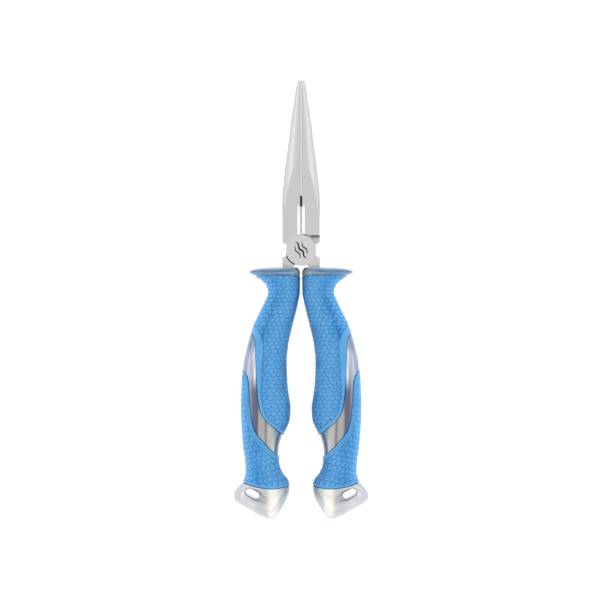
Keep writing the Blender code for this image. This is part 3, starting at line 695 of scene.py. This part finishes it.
def core_paint(name):
    """Silver pearl plastic, with long dark and bright streaks that follow the handle: partly flow marks in
    the pearl and partly painted reflections, with a painted highlight near the upper sleeve's edge. The
    inner side and the strip under the guard carry painted shade.
    """
    paint = Paint(name, Metallic=0.55, Coat_Weight=0.9, Coat_Roughness=0.05)
    place = paint.attribute("place")
    across = paint.mark("across")
    x, y = paint.axis(place, 0), paint.axis(place, 1)
    flow = paint.noise(paint.stretched(place, (0.5, 0.04, 0.3)), 0.9, 1.5, 0.45)
    flakes = paint.noise(place, 14.0, 2.0, 0.8)
    low_x = paint.math("ADD", x, paint.math("MULTIPLY_ADD", flow, 2.0, -1.0))
    low = paint.ramp(paint.math("MULTIPLY_ADD", low_x, 1 / 20, -7 / 20), LOW_WINDOW_COLOURS_WITH_REFLECTIONS)
    high = paint.ramp(paint.math("MULTIPLY_ADD", x, 1 / 6, -19.8 / 6), HIGH_WINDOW_COLOURS_WITH_HIGHLIGHT)
    base = paint.mix(paint.range(y, -66.0, -56.0), low, high)
    base = paint.mix(paint.range(y, -50.0, -43.0), base, (0.14, 0.22, 0.34))
    base = paint.over(base, flakes, (0.45, 0.46, 0.5), 0.08)
    # Painted shade: darker towards the inner side.
    base = paint.fade(base, across, -0.75, -1.0, 0.7, (0.05, 0.09, 0.17))
    # Painted shade: the strip just under the guard is dark blue.
    base = paint.mix(paint.range(y, TOP_Y - 1.0, TOP_Y - 0.5), base, (0.02, 0.14, 0.34))
    return paint.pearly(base, flakes, 0.1, 0.18, 0.004)


def cap_paint(name):
    """White pearl plastic with faint mint and lavender, silver at the sides. The cream band near the middle
    is a painted highlight, and the steep sides are darkened with painted shade.
    """
    paint = Paint(name, Metallic=0.25, Coat_Weight=1.0, Coat_Roughness=0.05)
    place, lean = paint.attribute("place"), paint.attribute("lean")
    x = paint.axis(place, 0)
    swirl = paint.noise(paint.stretched(place, (0.1, 0.16, 0.1)), 1.3, 3.0)
    flakes = paint.noise(place, 14.0, 2.0, 0.8)
    base = paint.ramp(paint.range(x, 4.0, 31.0), CAP_COLOURS_WITH_HIGHLIGHT)
    base = paint.fade(base, swirl, 0.5, 0.66, 0.35, (0.46, 0.62, 0.6))
    base = paint.fade(base, swirl, 0.48, 0.34, 0.35, (0.6, 0.55, 0.68))
    # Painted shade: the steep sides darken.
    side = paint.math("ABSOLUTE", paint.axis(lean, 2))
    base = paint.fade(base, side, 0.6, 0.1, 0.85, (0.13, 0.15, 0.17))
    base = paint.over(base, flakes, (0.7, 0.7, 0.72), 0.1)
    return paint.pearly(base, flakes, 0.08, 0.16, 0.003)


def floor_paint(name):
    """A white light table."""
    paint = Paint(name, Roughness=0.6, Emission_Color=(1.0, 1.0, 1.0), Emission_Strength=0.93)
    grain = paint.noise(paint.node("ShaderNodeTexCoord", {}, "Object"), 40.0, 2.0)
    paint.wear("Base Color", paint.mix(grain, (0.17, 0.17, 0.17), (0.19, 0.19, 0.19)))
    return paint.material


def mark_paint(name):
    """Dark ink with a slightly uneven tone."""
    paint = Paint(name, Roughness=0.7, Specular_IOR_Level=0.15)
    grain = paint.noise(paint.attribute("place"), 6.0, 3.0)
    paint.wear("Base Color", paint.mix(grain, (0.012, 0.012, 0.013), (0.04, 0.04, 0.042)))
    return paint.material


# Steel levers


def jaw_rings(segments=40):
    """Half an ellipse at each station: flat on the gripping side, round outside."""
    stations = np.array(JAW_STATIONS)[:, 0]
    heights = np.unique(np.round(np.concatenate([stations, np.arange(14.0, JAW_REACH, 1.6)]), 4))
    angles = np.pi * (np.arange(segments + 1) / segments - 0.5)
    rings = []
    for y, (half_width, half_depth) in zip(heights, jaw_at(heights)):
        x = -JAW_GAP_HALF - (half_width - JAW_GAP_HALF) * np.cos(angles)
        rings.append(np.stack([x, np.full_like(x, y), half_depth * np.sin(angles)], axis=-1))
    return rings


def teeth_outline():
    outline = [(BEYOND, TEETH_LOW)]
    for k in range(TEETH_COUNT):
        y = TEETH_LOW + k * TEETH_PITCH
        outline.append((0.0, y))
        outline.append((-JAW_GAP_HALF - TEETH_DEPTH, y + 0.5 * TEETH_PITCH))
    high = TEETH_LOW + TEETH_COUNT * TEETH_PITCH
    return outline + [(0.0, high), (BEYOND, high)]


def pocket_outline(steps=72):
    """Room for the other lever's boss, with the straight shoulder beside it."""
    start = math.pi - math.asin(SHOULDER_Y / POCKET_RADIUS)
    outline = [(-2 * JOINT_HALF_WIDTH, 0.0), (-2 * JOINT_HALF_WIDTH, SHOULDER_Y)]
    for k in range(steps + 1):
        angle = start - (start + math.pi) * k / steps
        outline.append((POCKET_RADIUS * math.cos(angle), POCKET_RADIUS * math.sin(angle)))
    return outline


def lip_outline():
    """The lip in the relief slot, rooted in the jaw above the cutters and free of the wall beside them."""
    root, wall = -RELIEF_HALF_WIDTH - 1.0, -RELIEF_HALF_WIDTH + 0.2
    low, step, high = RELIEF_LOW + 0.1, CUTTER_HIGH + 0.5, RELIEF_HIGH - GAP
    return [(root, step), (wall, step), (wall, low), (LIP_OVERLAP, low), (LIP_OVERLAP, high), (root, high)]


def cutter_groove(side):
    edge, wall, far = side * CUTTER_EDGE_Z, side * CUTTER_WALL_Z, side * (FACE_Z + BEYOND)
    section = [
        (BEYOND, edge), (-JAW_GAP_HALF, edge), (-CUTTER_HALF_WIDTH, wall), (-CUTTER_HALF_WIDTH, far),
        (BEYOND, far),
    ]
    return prism(section, CUTTER_LOW, CUTTER_HIGH, along_y=True)


def tongue_outline(clearance=0.0):
    """The tang's tongue, following the middle of the handle."""
    rows = [list(row) for row in TONGUE_EDGES]
    rows[0][0] += clearance
    rows[-1][0] -= clearance
    inner_side = [(inner - clearance, y) for y, inner, outer in rows]
    outer_side = [(outer + clearance, y) for y, inner, outer in rows]
    return inner_side + outer_side[::-1]


def lever(side):
    """One forged lever: half of the nose, the boss in its own layer, and the tang."""
    foot, tip = JAW_STATIONS[0], JAW_STATIONS[-1]
    nose = loft("lever", jaw_rings(), ((-foot[1] / 2, foot[0], 0.0), (-tip[1] / 2, tip[0], 0.0)))
    above, below = FACE_Z + 1, -FACE_Z - 1
    slab_outline = box_outline(-20, 40, TONGUE_EDGES[-1][0] - BEYOND, JAW_REACH + BEYOND)
    steps = [
        ("UNION", drill(BOSS_RADIUS, below, above, segments=144)),
        ("UNION", prism(TANG_HEAD, below, above)),
        ("UNION", prism(TANG_SHANK, -SHANK_HALF_Z, SHANK_HALF_Z)),
        ("UNION", prism(tongue_outline(), -TONGUE_HALF_Z, TONGUE_HALF_Z)),
        ("INTERSECT", prism(slab_outline, -FACE_Z, FACE_Z)),
        ("DIFFERENCE", prism(pocket_outline(), below, LAP_Z)),
    ]
    for sign in (-1, 1):
        wall, edge = sign * NOTCH_X, sign * (JOINT_HALF_WIDTH + 1)
        rise = NOTCH_CHAMFER * (JOINT_HALF_WIDTH + 1 - NOTCH_X) / (JOINT_HALF_WIDTH - NOTCH_X)
        outline = [(wall, -NOTCH_Y), (wall, NOTCH_Y), (edge, NOTCH_Y + rise), (edge, -NOTCH_Y - rise)]
        steps += cuts(prism(outline, below, above), cutter_groove(sign))
    relief = box_outline(-RELIEF_HALF_WIDTH, BEYOND, RELIEF_LOW, RELIEF_HIGH)
    blank = cleaned(carved(nose, steps + cuts(prism(relief, below, above))))
    steps = [("UNION", prism(lip_outline(), LAP_Z, LAP_Z + LIP_HEIGHT))]
    steps += cuts(prism(teeth_outline(), -TEETH_HALF_Z, TEETH_HALF_Z))
    steps += cuts(*(drill(PIN_BORE, below, above, centre, 32) for centre in TANG_PINS))
    if side == "right":
        steps += cuts(drill(RIVET_RADIUS + RUNNING_GAP, -1.0, RIVET_END_Z + GAP))
    else:
        neck = FACE_Z - RIVET_HEAD_DEPTH - RUNNING_GAP
        slope = (RIVET_HEAD_RADIUS - RIVET_RADIUS) / RIVET_HEAD_DEPTH
        bore, mouth = RIVET_RADIUS + RUNNING_GAP, RIVET_HEAD_RADIUS + slope + 1.5 * RUNNING_GAP
        steps += cuts(turned(((0, -1.0), (bore, -1.0), (bore, neck), (mouth, above), (0, above))))
    return carved(blank, steps, bevel=(0.12, 28, 2))


# Handle pieces


def scale_field(u, v, pitch):
    """Staggered scales with round free edges towards +v: each one's rise, groove line and random tint.

    u is in scale widths and v in rows. The pitch is a row's height in scale widths."""
    first = np.floor(v)
    owner_row = np.full(u.shape, np.nan)
    owner_column = np.zeros(u.shape)
    edge = np.full(u.shape, 9.0)
    bold = np.ones(u.shape)
    for step in (-2, -1, 0, 1, 2):
        row = first + step
        shift = 0.5 * np.mod(row, 2)
        column = np.round(u - shift)
        below = pitch * (v - row)
        reach = np.hypot(u - shift - column, np.maximum(below, 0))
        free = np.isnan(owner_row)
        nearer = free & (np.abs(0.5 - reach) < edge)
        bold = np.where(nearer, 0.3 + 0.7 * soft_step(below, -0.15, 0.15), bold)
        covers = free & (reach <= 0.5)
        edge = np.where(free, np.minimum(edge, np.abs(0.5 - reach)), edge)
        owner_row = np.where(covers, row, owner_row)
        owner_column = np.where(covers, column, owner_column)
    past = v - owner_row
    rise = np.clip((past + 0.45) / 1.05, 0, 1)
    seed = np.mod(np.sin(owner_row * 12.9898 + owner_column * 78.233) * 43758.5453, 1)
    return rise, edge, seed, bold


def arcs_round(grid):
    """Distance round each ring from its outer side, and the whole way round."""
    steps = np.linalg.norm((np.roll(grid, -1, axis=1) - grid)[..., [0, 2]], axis=-1)
    walked = np.cumsum(steps, axis=1)
    return walked - steps, walked[:, -1:]


def scaly(u, v, pitch, plain, width, lift=0.13, depth=0.14, line_width=0.14):
    """Relief height and marks of a scaled skin. Plain is 1 where it stays smooth, width a scale's width."""
    rise, edge, seed, bold = scale_field(u, v, pitch)
    # The line sets both the groove's depth and its painted shade.
    line = np.exp(-((edge * width / line_width) ** 2)) * (1 - plain) * bold * (0.7 + 0.3 * seed)
    height = lift * (rise - 0.5) * (1 - plain) - depth * line
    return height, line, seed * (1 - plain)


def fillet(distance, radius):
    """How far a rounded edge falls below the surface at this distance from the edge."""
    inside = np.clip(radius - distance, 0, radius)
    return radius - np.sqrt(np.maximum(radius**2 - inside**2, 0))


def edge_drop(distance):
    """The rounding of a sleeve's or window's edge, fainter at the outer side."""
    return fillet(distance, EDGE_RADIUS) * (1 - 0.7 * soft_step(ACROSS, 0.75, 0.97))


def edge_distance(y, edge_at):
    """Distance from a sleeve's edge, positive above it, by row and column."""
    return (y - edge_at(ACROSS)) / np.sqrt(1 + edge_lean(edge_at) ** 2)


def rim_distance(grid, edge_at):
    """Straight distance from a sleeve's edge, and the height of the nearest point of the edge."""
    curve = skin(edge_at(ACROSS)[None, :])[0]
    distance, height = np.empty(grid.shape[:2]), np.empty(grid.shape[:2])
    for k, row in enumerate(grid):
        gaps = np.linalg.norm(row[:, None] - curve[None], axis=-1)
        nearest = gaps.argmin(axis=1)
        distance[k], height[k] = gaps.min(axis=1), curve[nearest, 1]
    return distance, height


def rimmed(scales, rim, plain, to_rim, seam, depth, shade):
    """A sleeve's relief and marks: its scales, and its rim, swollen in front, with a seam beside it."""
    height, line, seed = scales
    swell = 0.1 * (1 - soft_step(ACROSS, 0.6, 0.9)) * rim
    line = np.maximum(line, shade * np.clip(seam, 0, 1))
    marks = {"groove": line, "rim": plain, "tint": seed}
    return height + swell - depth * seam - edge_drop(to_rim), marks


def sleeve(name, y, relief, side, surface):
    outside = skin(y)
    height, marks = relief(outside, y)
    outside = outside + outward(outside) * height[..., None]
    inner_rows = np.linspace(1, 0, 12)
    inside = skin(rows_between(y[0], y[-1], inner_rows), SLEEVE_THICKNESS)
    blank = np.zeros(inside.shape[:2])
    full = {key: np.concatenate([values, blank]) for key, values in marks.items()}
    full["across"] = np.broadcast_to(ACROSS, (len(y) + len(inner_rows), COLUMNS))
    mesh = loft(name, np.concatenate([outside, inside]))
    publish(name, mesh, side, surface, [name], full, sharp=50)


UPPER_SCALES_ROUND = 22
UPPER_ROW_PITCH = 1.8
LOWER_SCALE_WIDTH, LOWER_ROW_PITCH = 2.9, 2.2
RIM_FLOW = math.radians(47)


def upper_sleeve(side, surface):
    top = np.full(COLUMNS, TOP_Y)
    bottom = edge_height(upper_edge_at)
    y = rows_between(top, bottom, ring_shares(250, 0.01, 0.012))

    def relief(grid, y):
        walked, whole = arcs_round(grid)
        turn = 2 * np.pi * walked / whole
        v = (TOP_Y - y) / UPPER_ROW_PITCH
        drift = 0.1 * np.sin(5 * turn + 1.7 * v) + 0.07 * np.sin(9 * turn - 2.3 * v + 1)
        u = UPPER_SCALES_ROUND * walked / whole + drift
        v = v + 0.12 * np.sin(7 * turn + 1.1 * v + 2) + 0.07 * np.sin(3 * turn - 2.9 * v)
        to_rim, rim_y = rim_distance(grid, upper_edge_at)
        rim_width = 1.4 + 2.2 * soft_step(rim_y, -75, -41)
        plain = 1 - soft_step(to_rim, rim_width, rim_width + 0.35)
        width = whole / UPPER_SCALES_ROUND
        scales = scaly(u, v, UPPER_ROW_PITCH / 2.7, plain, width)
        seam = np.exp(-(((to_rim - rim_width - 0.12) / 0.2) ** 2))
        height, marks = rimmed(scales, plain, plain, to_rim, seam, 0.16, 0.8)
        return height - fillet(TOP_Y - y, 0.2), marks

    sleeve(f"{side}_upper_sleeve", y, relief, side, surface)


def lower_sleeve(side, surface):
    top = edge_height(lower_edge_at)
    bottom = edge_height(cap_edge_at, GAP)
    y = rows_between(top, bottom, ring_shares(150, 0.03, 0.03))

    def relief(grid, y):
        walked, whole = arcs_round(grid)
        folded = np.minimum(walked, whole - walked)
        from_middle = whole / 4 - folded
        along = from_middle * math.cos(RIM_FLOW) + y * math.sin(RIM_FLOW)
        down = from_middle * math.sin(RIM_FLOW) - y * math.cos(RIM_FLOW)
        to_rim, _ = rim_distance(grid, lower_edge_at)
        to_cap = y - bottom
        past_rim = soft_step(to_rim, 1.95, 2.25)
        plain = 1 - past_rim * soft_step(to_cap, 0.9, 1.2)
        pitch = LOWER_ROW_PITCH / LOWER_SCALE_WIDTH
        u, v = along / LOWER_SCALE_WIDTH, down / LOWER_ROW_PITCH
        u, v = u + 0.1 * np.sin(2.1 * v + 0.9 * u), v + 0.12 * np.sin(1.9 * u - 1.3 * v)
        scales = scaly(u, v, pitch, plain, LOWER_SCALE_WIDTH, 0.15, 0.16, 0.16)
        seams = np.exp(-(((to_rim - 2.05) / 0.2) ** 2)) + 0.8 * np.exp(-(((to_rim - 1.05) / 0.17) ** 2))
        height, marks = rimmed(scales, 1 - past_rim, plain, to_rim, seams, 0.15, 0.7)
        return height - fillet(to_cap, EDGE_RADIUS), marks

    sleeve(f"{side}_lower_sleeve", y, relief, side, surface)


def core(side, half, sign, surface):
    """The hard core's front or back shell: a collar below the guard, and a raised land in the window."""
    upper_end = edge_height(upper_edge_at)
    window_top = edge_height(upper_edge_at, -GAP)
    window_bottom = edge_height(lower_edge_at, GAP)
    lower_start = edge_height(lower_edge_at)
    flare = np.full(COLUMNS, TOP_Y)
    start_y = GUARD_RINGS[-1][0] - 0.01
    collar_rows = np.repeat([[start_y], [TOP_Y + 0.06]], COLUMNS, axis=1)
    upper_rows = rows_between(flare, upper_end, np.linspace(0, 1, 40))
    window_rows = rows_between(window_top, window_bottom, ring_shares(90, 0.02, 0.02))
    lower_end = np.minimum(CORE_END_Y + 1.5, lower_start)
    lower_rows = rows_between(lower_start, lower_end, np.linspace(0, 1, 14))
    end_row = np.full((1, COLUMNS), CORE_END_Y)
    land = skin(window_rows)
    to_edges = np.minimum(
        -edge_distance(window_rows, upper_edge_at) - GAP, edge_distance(window_rows, lower_edge_at) - GAP
    )
    crease = 0.16 * np.exp(-(((ACROSS - 0.47) / 0.05) ** 2)) * soft_step(window_rows, -88, -80)
    inset = WINDOW_INSET - 0.42 * soft_step(ACROSS, 0.6, 0.9)
    land = land - outward(land) * (inset + edge_drop(to_edges) + crease)[..., None]
    above_land = np.vstack([upper_rows, window_top])
    below_land = np.vstack([window_bottom, lower_rows])
    collar, end = skin(collar_rows, COLLAR_INSET), skin(end_row, CORE_INSET + 2 * GAP)
    rings = (collar, skin(above_land, CORE_INSET), land, skin(below_land, CORE_INSET), end)
    name = f"{side}_core_{half}"
    solid = loft(name, np.concatenate(rings), ((7.0, start_y, 0.0), (16.0, CORE_END_Y, 0.0)))
    left, right, low_y, half_z = TENON
    keep = sorted((sign * LAP_Z, sign * 19.0))
    hollow = sorted((-sign * 1.0, sign * (TONGUE_HALF_Z + GAP)))
    bore = sorted((-sign * 1.0, sign * PIN_DEPTH))
    steps = [
        ("UNION", prism(box_outline(left, right, low_y, CORE_END_Y + 2), -half_z, half_z)),
        ("INTERSECT", prism(box_outline(-20, 50, -124.2, 0), *keep)),
    ]
    steps += cuts(prism(tongue_outline(GAP), *hollow))
    steps += cuts(*(drill(PIN_BORE, *bore, centre, 32) for centre in TANG_PINS))
    mesh = carved(solid, steps)
    points = points_of(mesh)
    found = handle_at(points[:, 1])
    middle, reach = span(found[:, 0], found[:, 1])
    across = np.clip((points[:, 0] - middle) / reach, -1, 1)
    publish(name, mesh, side, surface, [name], {"across": across}, sharp=40)


def guard(side, surface):
    """The finger guard: an oval flange, domed on top, with a slot for the tang."""
    knots = np.linspace(0, 1, len(GUARD_RINGS))
    through = smooth_through([(t, *ring) for t, ring in zip(knots, GUARD_RINGS)])
    across, deep = unit_ring(180)
    rings = []
    for y, inner, outer, depth in through(np.linspace(0, 1, 37)):
        middle, half = span(inner, outer)
        rings.append(np.stack([middle + half * across, np.full_like(across, y), depth * deep], axis=-1))
    top, bottom = GUARD_RINGS[0], GUARD_RINGS[-1]
    ends = (((top[1] + top[2]) / 2, top[0], 0), ((bottom[1] + bottom[2]) / 2, bottom[0], 0))
    name = f"{side}_guard"
    mesh = loft(name, rings, ends)
    depth = SHANK_HALF_Z + GAP
    mesh = carved(mesh, cuts(prism(GUARD_SLOT, -depth, depth)))
    publish(name, mesh, side, surface, [name], sharp=50)


def hole_outline(segments=72):
    """The slanting lanyard hole, straight along its sides and round at its ends."""
    centre_x, centre_y = LANYARD_CENTRE
    half_width, straight = LANYARD_HALF_WIDTH - HOLE_TRIM, LANYARD_HALF_LENGTH - LANYARD_HALF_WIDTH
    cos, sin = math.cos(LANYARD_TILT), math.sin(LANYARD_TILT)
    outline = []
    for k in range(segments):
        angle = 2 * math.pi * (k + 0.5) / segments
        x = half_width * math.cos(angle) + math.copysign(straight, math.cos(angle))
        y = half_width * math.sin(angle)
        outline.append((centre_x + x * cos - y * sin, centre_y + x * sin + y * cos))
    return outline


def scoop_tool(sign):
    """A teardrop tool that leaves the dished recess round the lanyard hole, narrow towards the tip."""
    centre = np.array(LANYARD_CENTRE)
    along = np.array([math.cos(LANYARD_TILT), math.sin(LANYARD_TILT)])
    square = np.array([-along[1], along[0]])
    shape_at = smooth_through(SCOOP_TEAR)
    start, end = SCOOP_TEAR[0][0], SCOOP_TEAR[-1][0]
    angles = 2 * np.pi * np.arange(48) / 48
    rings = []
    for t in np.linspace(start + 0.05, end - 0.05, 60):
        half_width, depth = shape_at(t)
        flat = centre + along * t + np.outer(half_width * np.cos(angles), square)
        rings.append(np.column_stack([flat, sign * SCOOP_Z + depth * np.sin(angles)]))
    ends = [(*(centre + along * t), sign * SCOOP_Z) for t in (start, end)]
    return loft("scoop", rings, ends)


def butt_cap(side, surface):
    """The butt cap: a slanting wedge with a lanyard hole in a scoop, and a pocket for the core's tenon."""
    across, deep = unit_ring(160)
    edge_y = cap_edge_at(across)
    found = handle_at(edge_y)
    middle, half = span(found[:, 0], found[:, 1])
    first = np.stack([middle + half * across, edge_y, found[:, 2] * deep], axis=-1)
    knots = [first]
    for inner, outer, depth in CAP_SECTIONS:
        centre, reach = span(np.array(inner), np.array(outer))
        flat = centre[None, :] + reach[None, :] * across[:, None]
        knots.append(np.stack([flat[:, 0], flat[:, 1], depth * deep], axis=-1))
    knots = np.array(knots)
    walked = np.concatenate([[0], np.cumsum(np.linalg.norm(np.diff(knots, axis=0), axis=-1).mean(axis=1))])
    table = np.concatenate([walked[:, None], knots.reshape(len(knots), -1)], axis=1)
    through = smooth_through(table)
    rings = through(np.linspace(0, walked[-1], 70)).reshape(70, 160, 3)
    tip = np.array([*CAP_BOTTOM, 0.0])
    closing = [tip + (rings[-1] - tip) * share for share in (0.8, 0.5, 0.2)]
    rings = np.concatenate([rings, closing])
    name = f"{side}_butt_cap"
    mesh = loft(name, rings, ((*CAP_TOP_MIDDLE, 0.0), tip))
    left, right, low_y, half_z = TENON
    pocket = box_outline(left - GAP, right + GAP, low_y - GAP, CORE_END_Y + 2)
    tools = (prism(pocket, -half_z - GAP, half_z + GAP), prism(hole_outline(), -19.0, 19.0))
    mesh = cleaned(carved(mesh, cuts(*tools, scoop_tool(-1), scoop_tool(1))))
    publish(name, mesh, side, surface, [name], sharp=40)


def joint_mark(surface):
    """Three plain wavy lines printed on the boss, side by side and tapering at their ends."""
    tilt, thick = math.radians(-58), 0.02
    turn = np.array([[math.cos(tilt), -math.sin(tilt)], [math.sin(tilt), math.cos(tilt)]])
    steel_face = FACE_Z + 0.001
    joined = bmesh.new()
    for offset, half_length, half_line in ((-1.9, 3.2, 0.3), (0.0, 4.6, 0.45), (1.9, 3.2, 0.3)):
        t = np.linspace(-1, 1, 49)
        points = np.column_stack([half_length * t, offset + 0.38 * np.sin(half_length * t * 1.5)])
        along = np.gradient(points, axis=0)
        along /= np.linalg.norm(along, axis=1, keepdims=True)
        square = np.stack([-along[:, 1], along[:, 0]], axis=1)
        reach = half_line * np.sqrt(1.02 - t**2)
        rings = []
        for side, z in ((-1, 0), (1, 0), (1, 1), (-1, 1)):
            flat = (points + square * (reach * side)[:, None]) @ turn.T
            rings.append(np.column_stack([flat, np.full(len(flat), steel_face + thick * z)]))
        ribbon = np.swapaxes(np.array(rings), 0, 1)
        joined.from_mesh(loft("ribbon", ribbon, (ribbon[0].mean(axis=0), ribbon[-1].mean(axis=0))))
    mesh = bpy.data.meshes.new("joint_mark")
    joined.to_mesh(mesh)
    joined.free()
    publish("joint_mark", mesh, "right", surface, [])


# Stage, light and camera

PANEL_X, PANEL_Y, PANEL_Z = 1.05, 0.2, 0.5
PANEL_SIZE, PANEL_POWER = 0.5, 0.3
VIEW_DISTANCE = 1.5
FRAME_WIDTH = 0.2768
SENSOR_WIDTH = 36.0


def stage():
    floor_mesh = mesh_of("floor", [(-2, -2, 0), (2, -2, 0), (2, 2, 0), (-2, 2, 0)], [(0, 1, 2, 3)])
    floor_mesh.materials.append(floor_paint("white_table"))
    placed("floor", floor_mesh)


def light():
    """A white dome, brighter round its shoulder than straight above, and two soft panels."""
    world = bpy.data.worlds.new("dome")
    world.use_nodes = True
    tree = world.node_tree
    tree.nodes.clear()
    kinds = ("TexCoord", "SeparateXYZ", "ValToRGB", "Background", "OutputWorld")
    made = [tree.nodes.new("ShaderNode" + kind) for kind in kinds]
    coordinates, height, ramp, background, output = made
    tree.links.new(coordinates.outputs["Generated"], height.inputs[0])
    tree.links.new(height.outputs[2], ramp.inputs[0])
    elements = ramp.color_ramp.elements
    elements[0].position, elements[0].color = 0.0, (0.5, 0.5, 0.5, 1)
    elements[1].position, elements[1].color = 1.0, (0.97, 0.97, 0.97, 1)
    for at, level in ((0.1, 0.75), (0.24, 1.5), (0.46, 1.5), (0.66, 1.05), (0.85, 0.96)):
        element = elements.new(at)
        element.color = (level, level, level, 1)
    tree.links.new(ramp.outputs[0], background.inputs["Color"])
    background.inputs["Strength"].default_value = 1.0
    tree.links.new(background.outputs[0], output.inputs["Surface"])
    bpy.context.scene.world = world
    for name, x in (("panel_left", -PANEL_X), ("panel_right", PANEL_X)):
        lamp = bpy.data.lights.new(name, "AREA")
        lamp.shape, lamp.size, lamp.energy = "SQUARE", PANEL_SIZE, PANEL_POWER
        made = placed(name, lamp)
        made.location = (x, PANEL_Y, PANEL_Z)
        made.rotation_mode = "QUATERNION"
        made.rotation_quaternion = (-made.location).to_track_quat("-Z", "Y")


def camera():
    low, high = cad_box
    data = bpy.data.cameras.new("camera")
    data.sensor_width = SENSOR_WIDTH
    data.lens = SENSOR_WIDTH * VIEW_DISTANCE / FRAME_WIDTH
    data.clip_end = 10.0
    made = placed("camera", data)
    made.location = (-0.0005, 0.0, (low.z + high.z) / 2 + VIEW_DISTANCE)
    bpy.context.scene.camera = made
    bpy.context.scene.view_settings.view_transform = "Standard"


def main():
    steel = steel_paint("satin_steel_paint", (0.6, 0.6, 0.6), 0.42)
    bright = steel_paint("bright_steel_paint", (0.7, 0.7, 0.71), 0.25)
    grip = sleeve_paint("blue_soft_grip_paint")
    blue_pearl = guard_paint("blue_pearl_paint")
    silver_pearl = core_paint("silver_pearl_paint")
    white_pearl = cap_paint("white_pearl_paint")
    for side, name in (("right", "front_lever"), ("left", "back_lever")):
        publish(name, lever(side), side, steel, [name], sharp=35, weighted=True)
        upper_sleeve(side, grip)
        lower_sleeve(side, grip)
        guard(side, blue_pearl)
        core(side, "front", 1, silver_pearl)
        core(side, "back", -1, silver_pearl)
        butt_cap(side, white_pearl)
        for where in ("upper", "lower"):
            frame["nodes"][f"{side}_{where}_tang_pin"].data.materials[0] = bright
    frame["nodes"]["pivot_rivet"].data.materials[0] = bright
    joint_mark(mark_paint("ink"))
    stage()
    light()
    camera()


main()
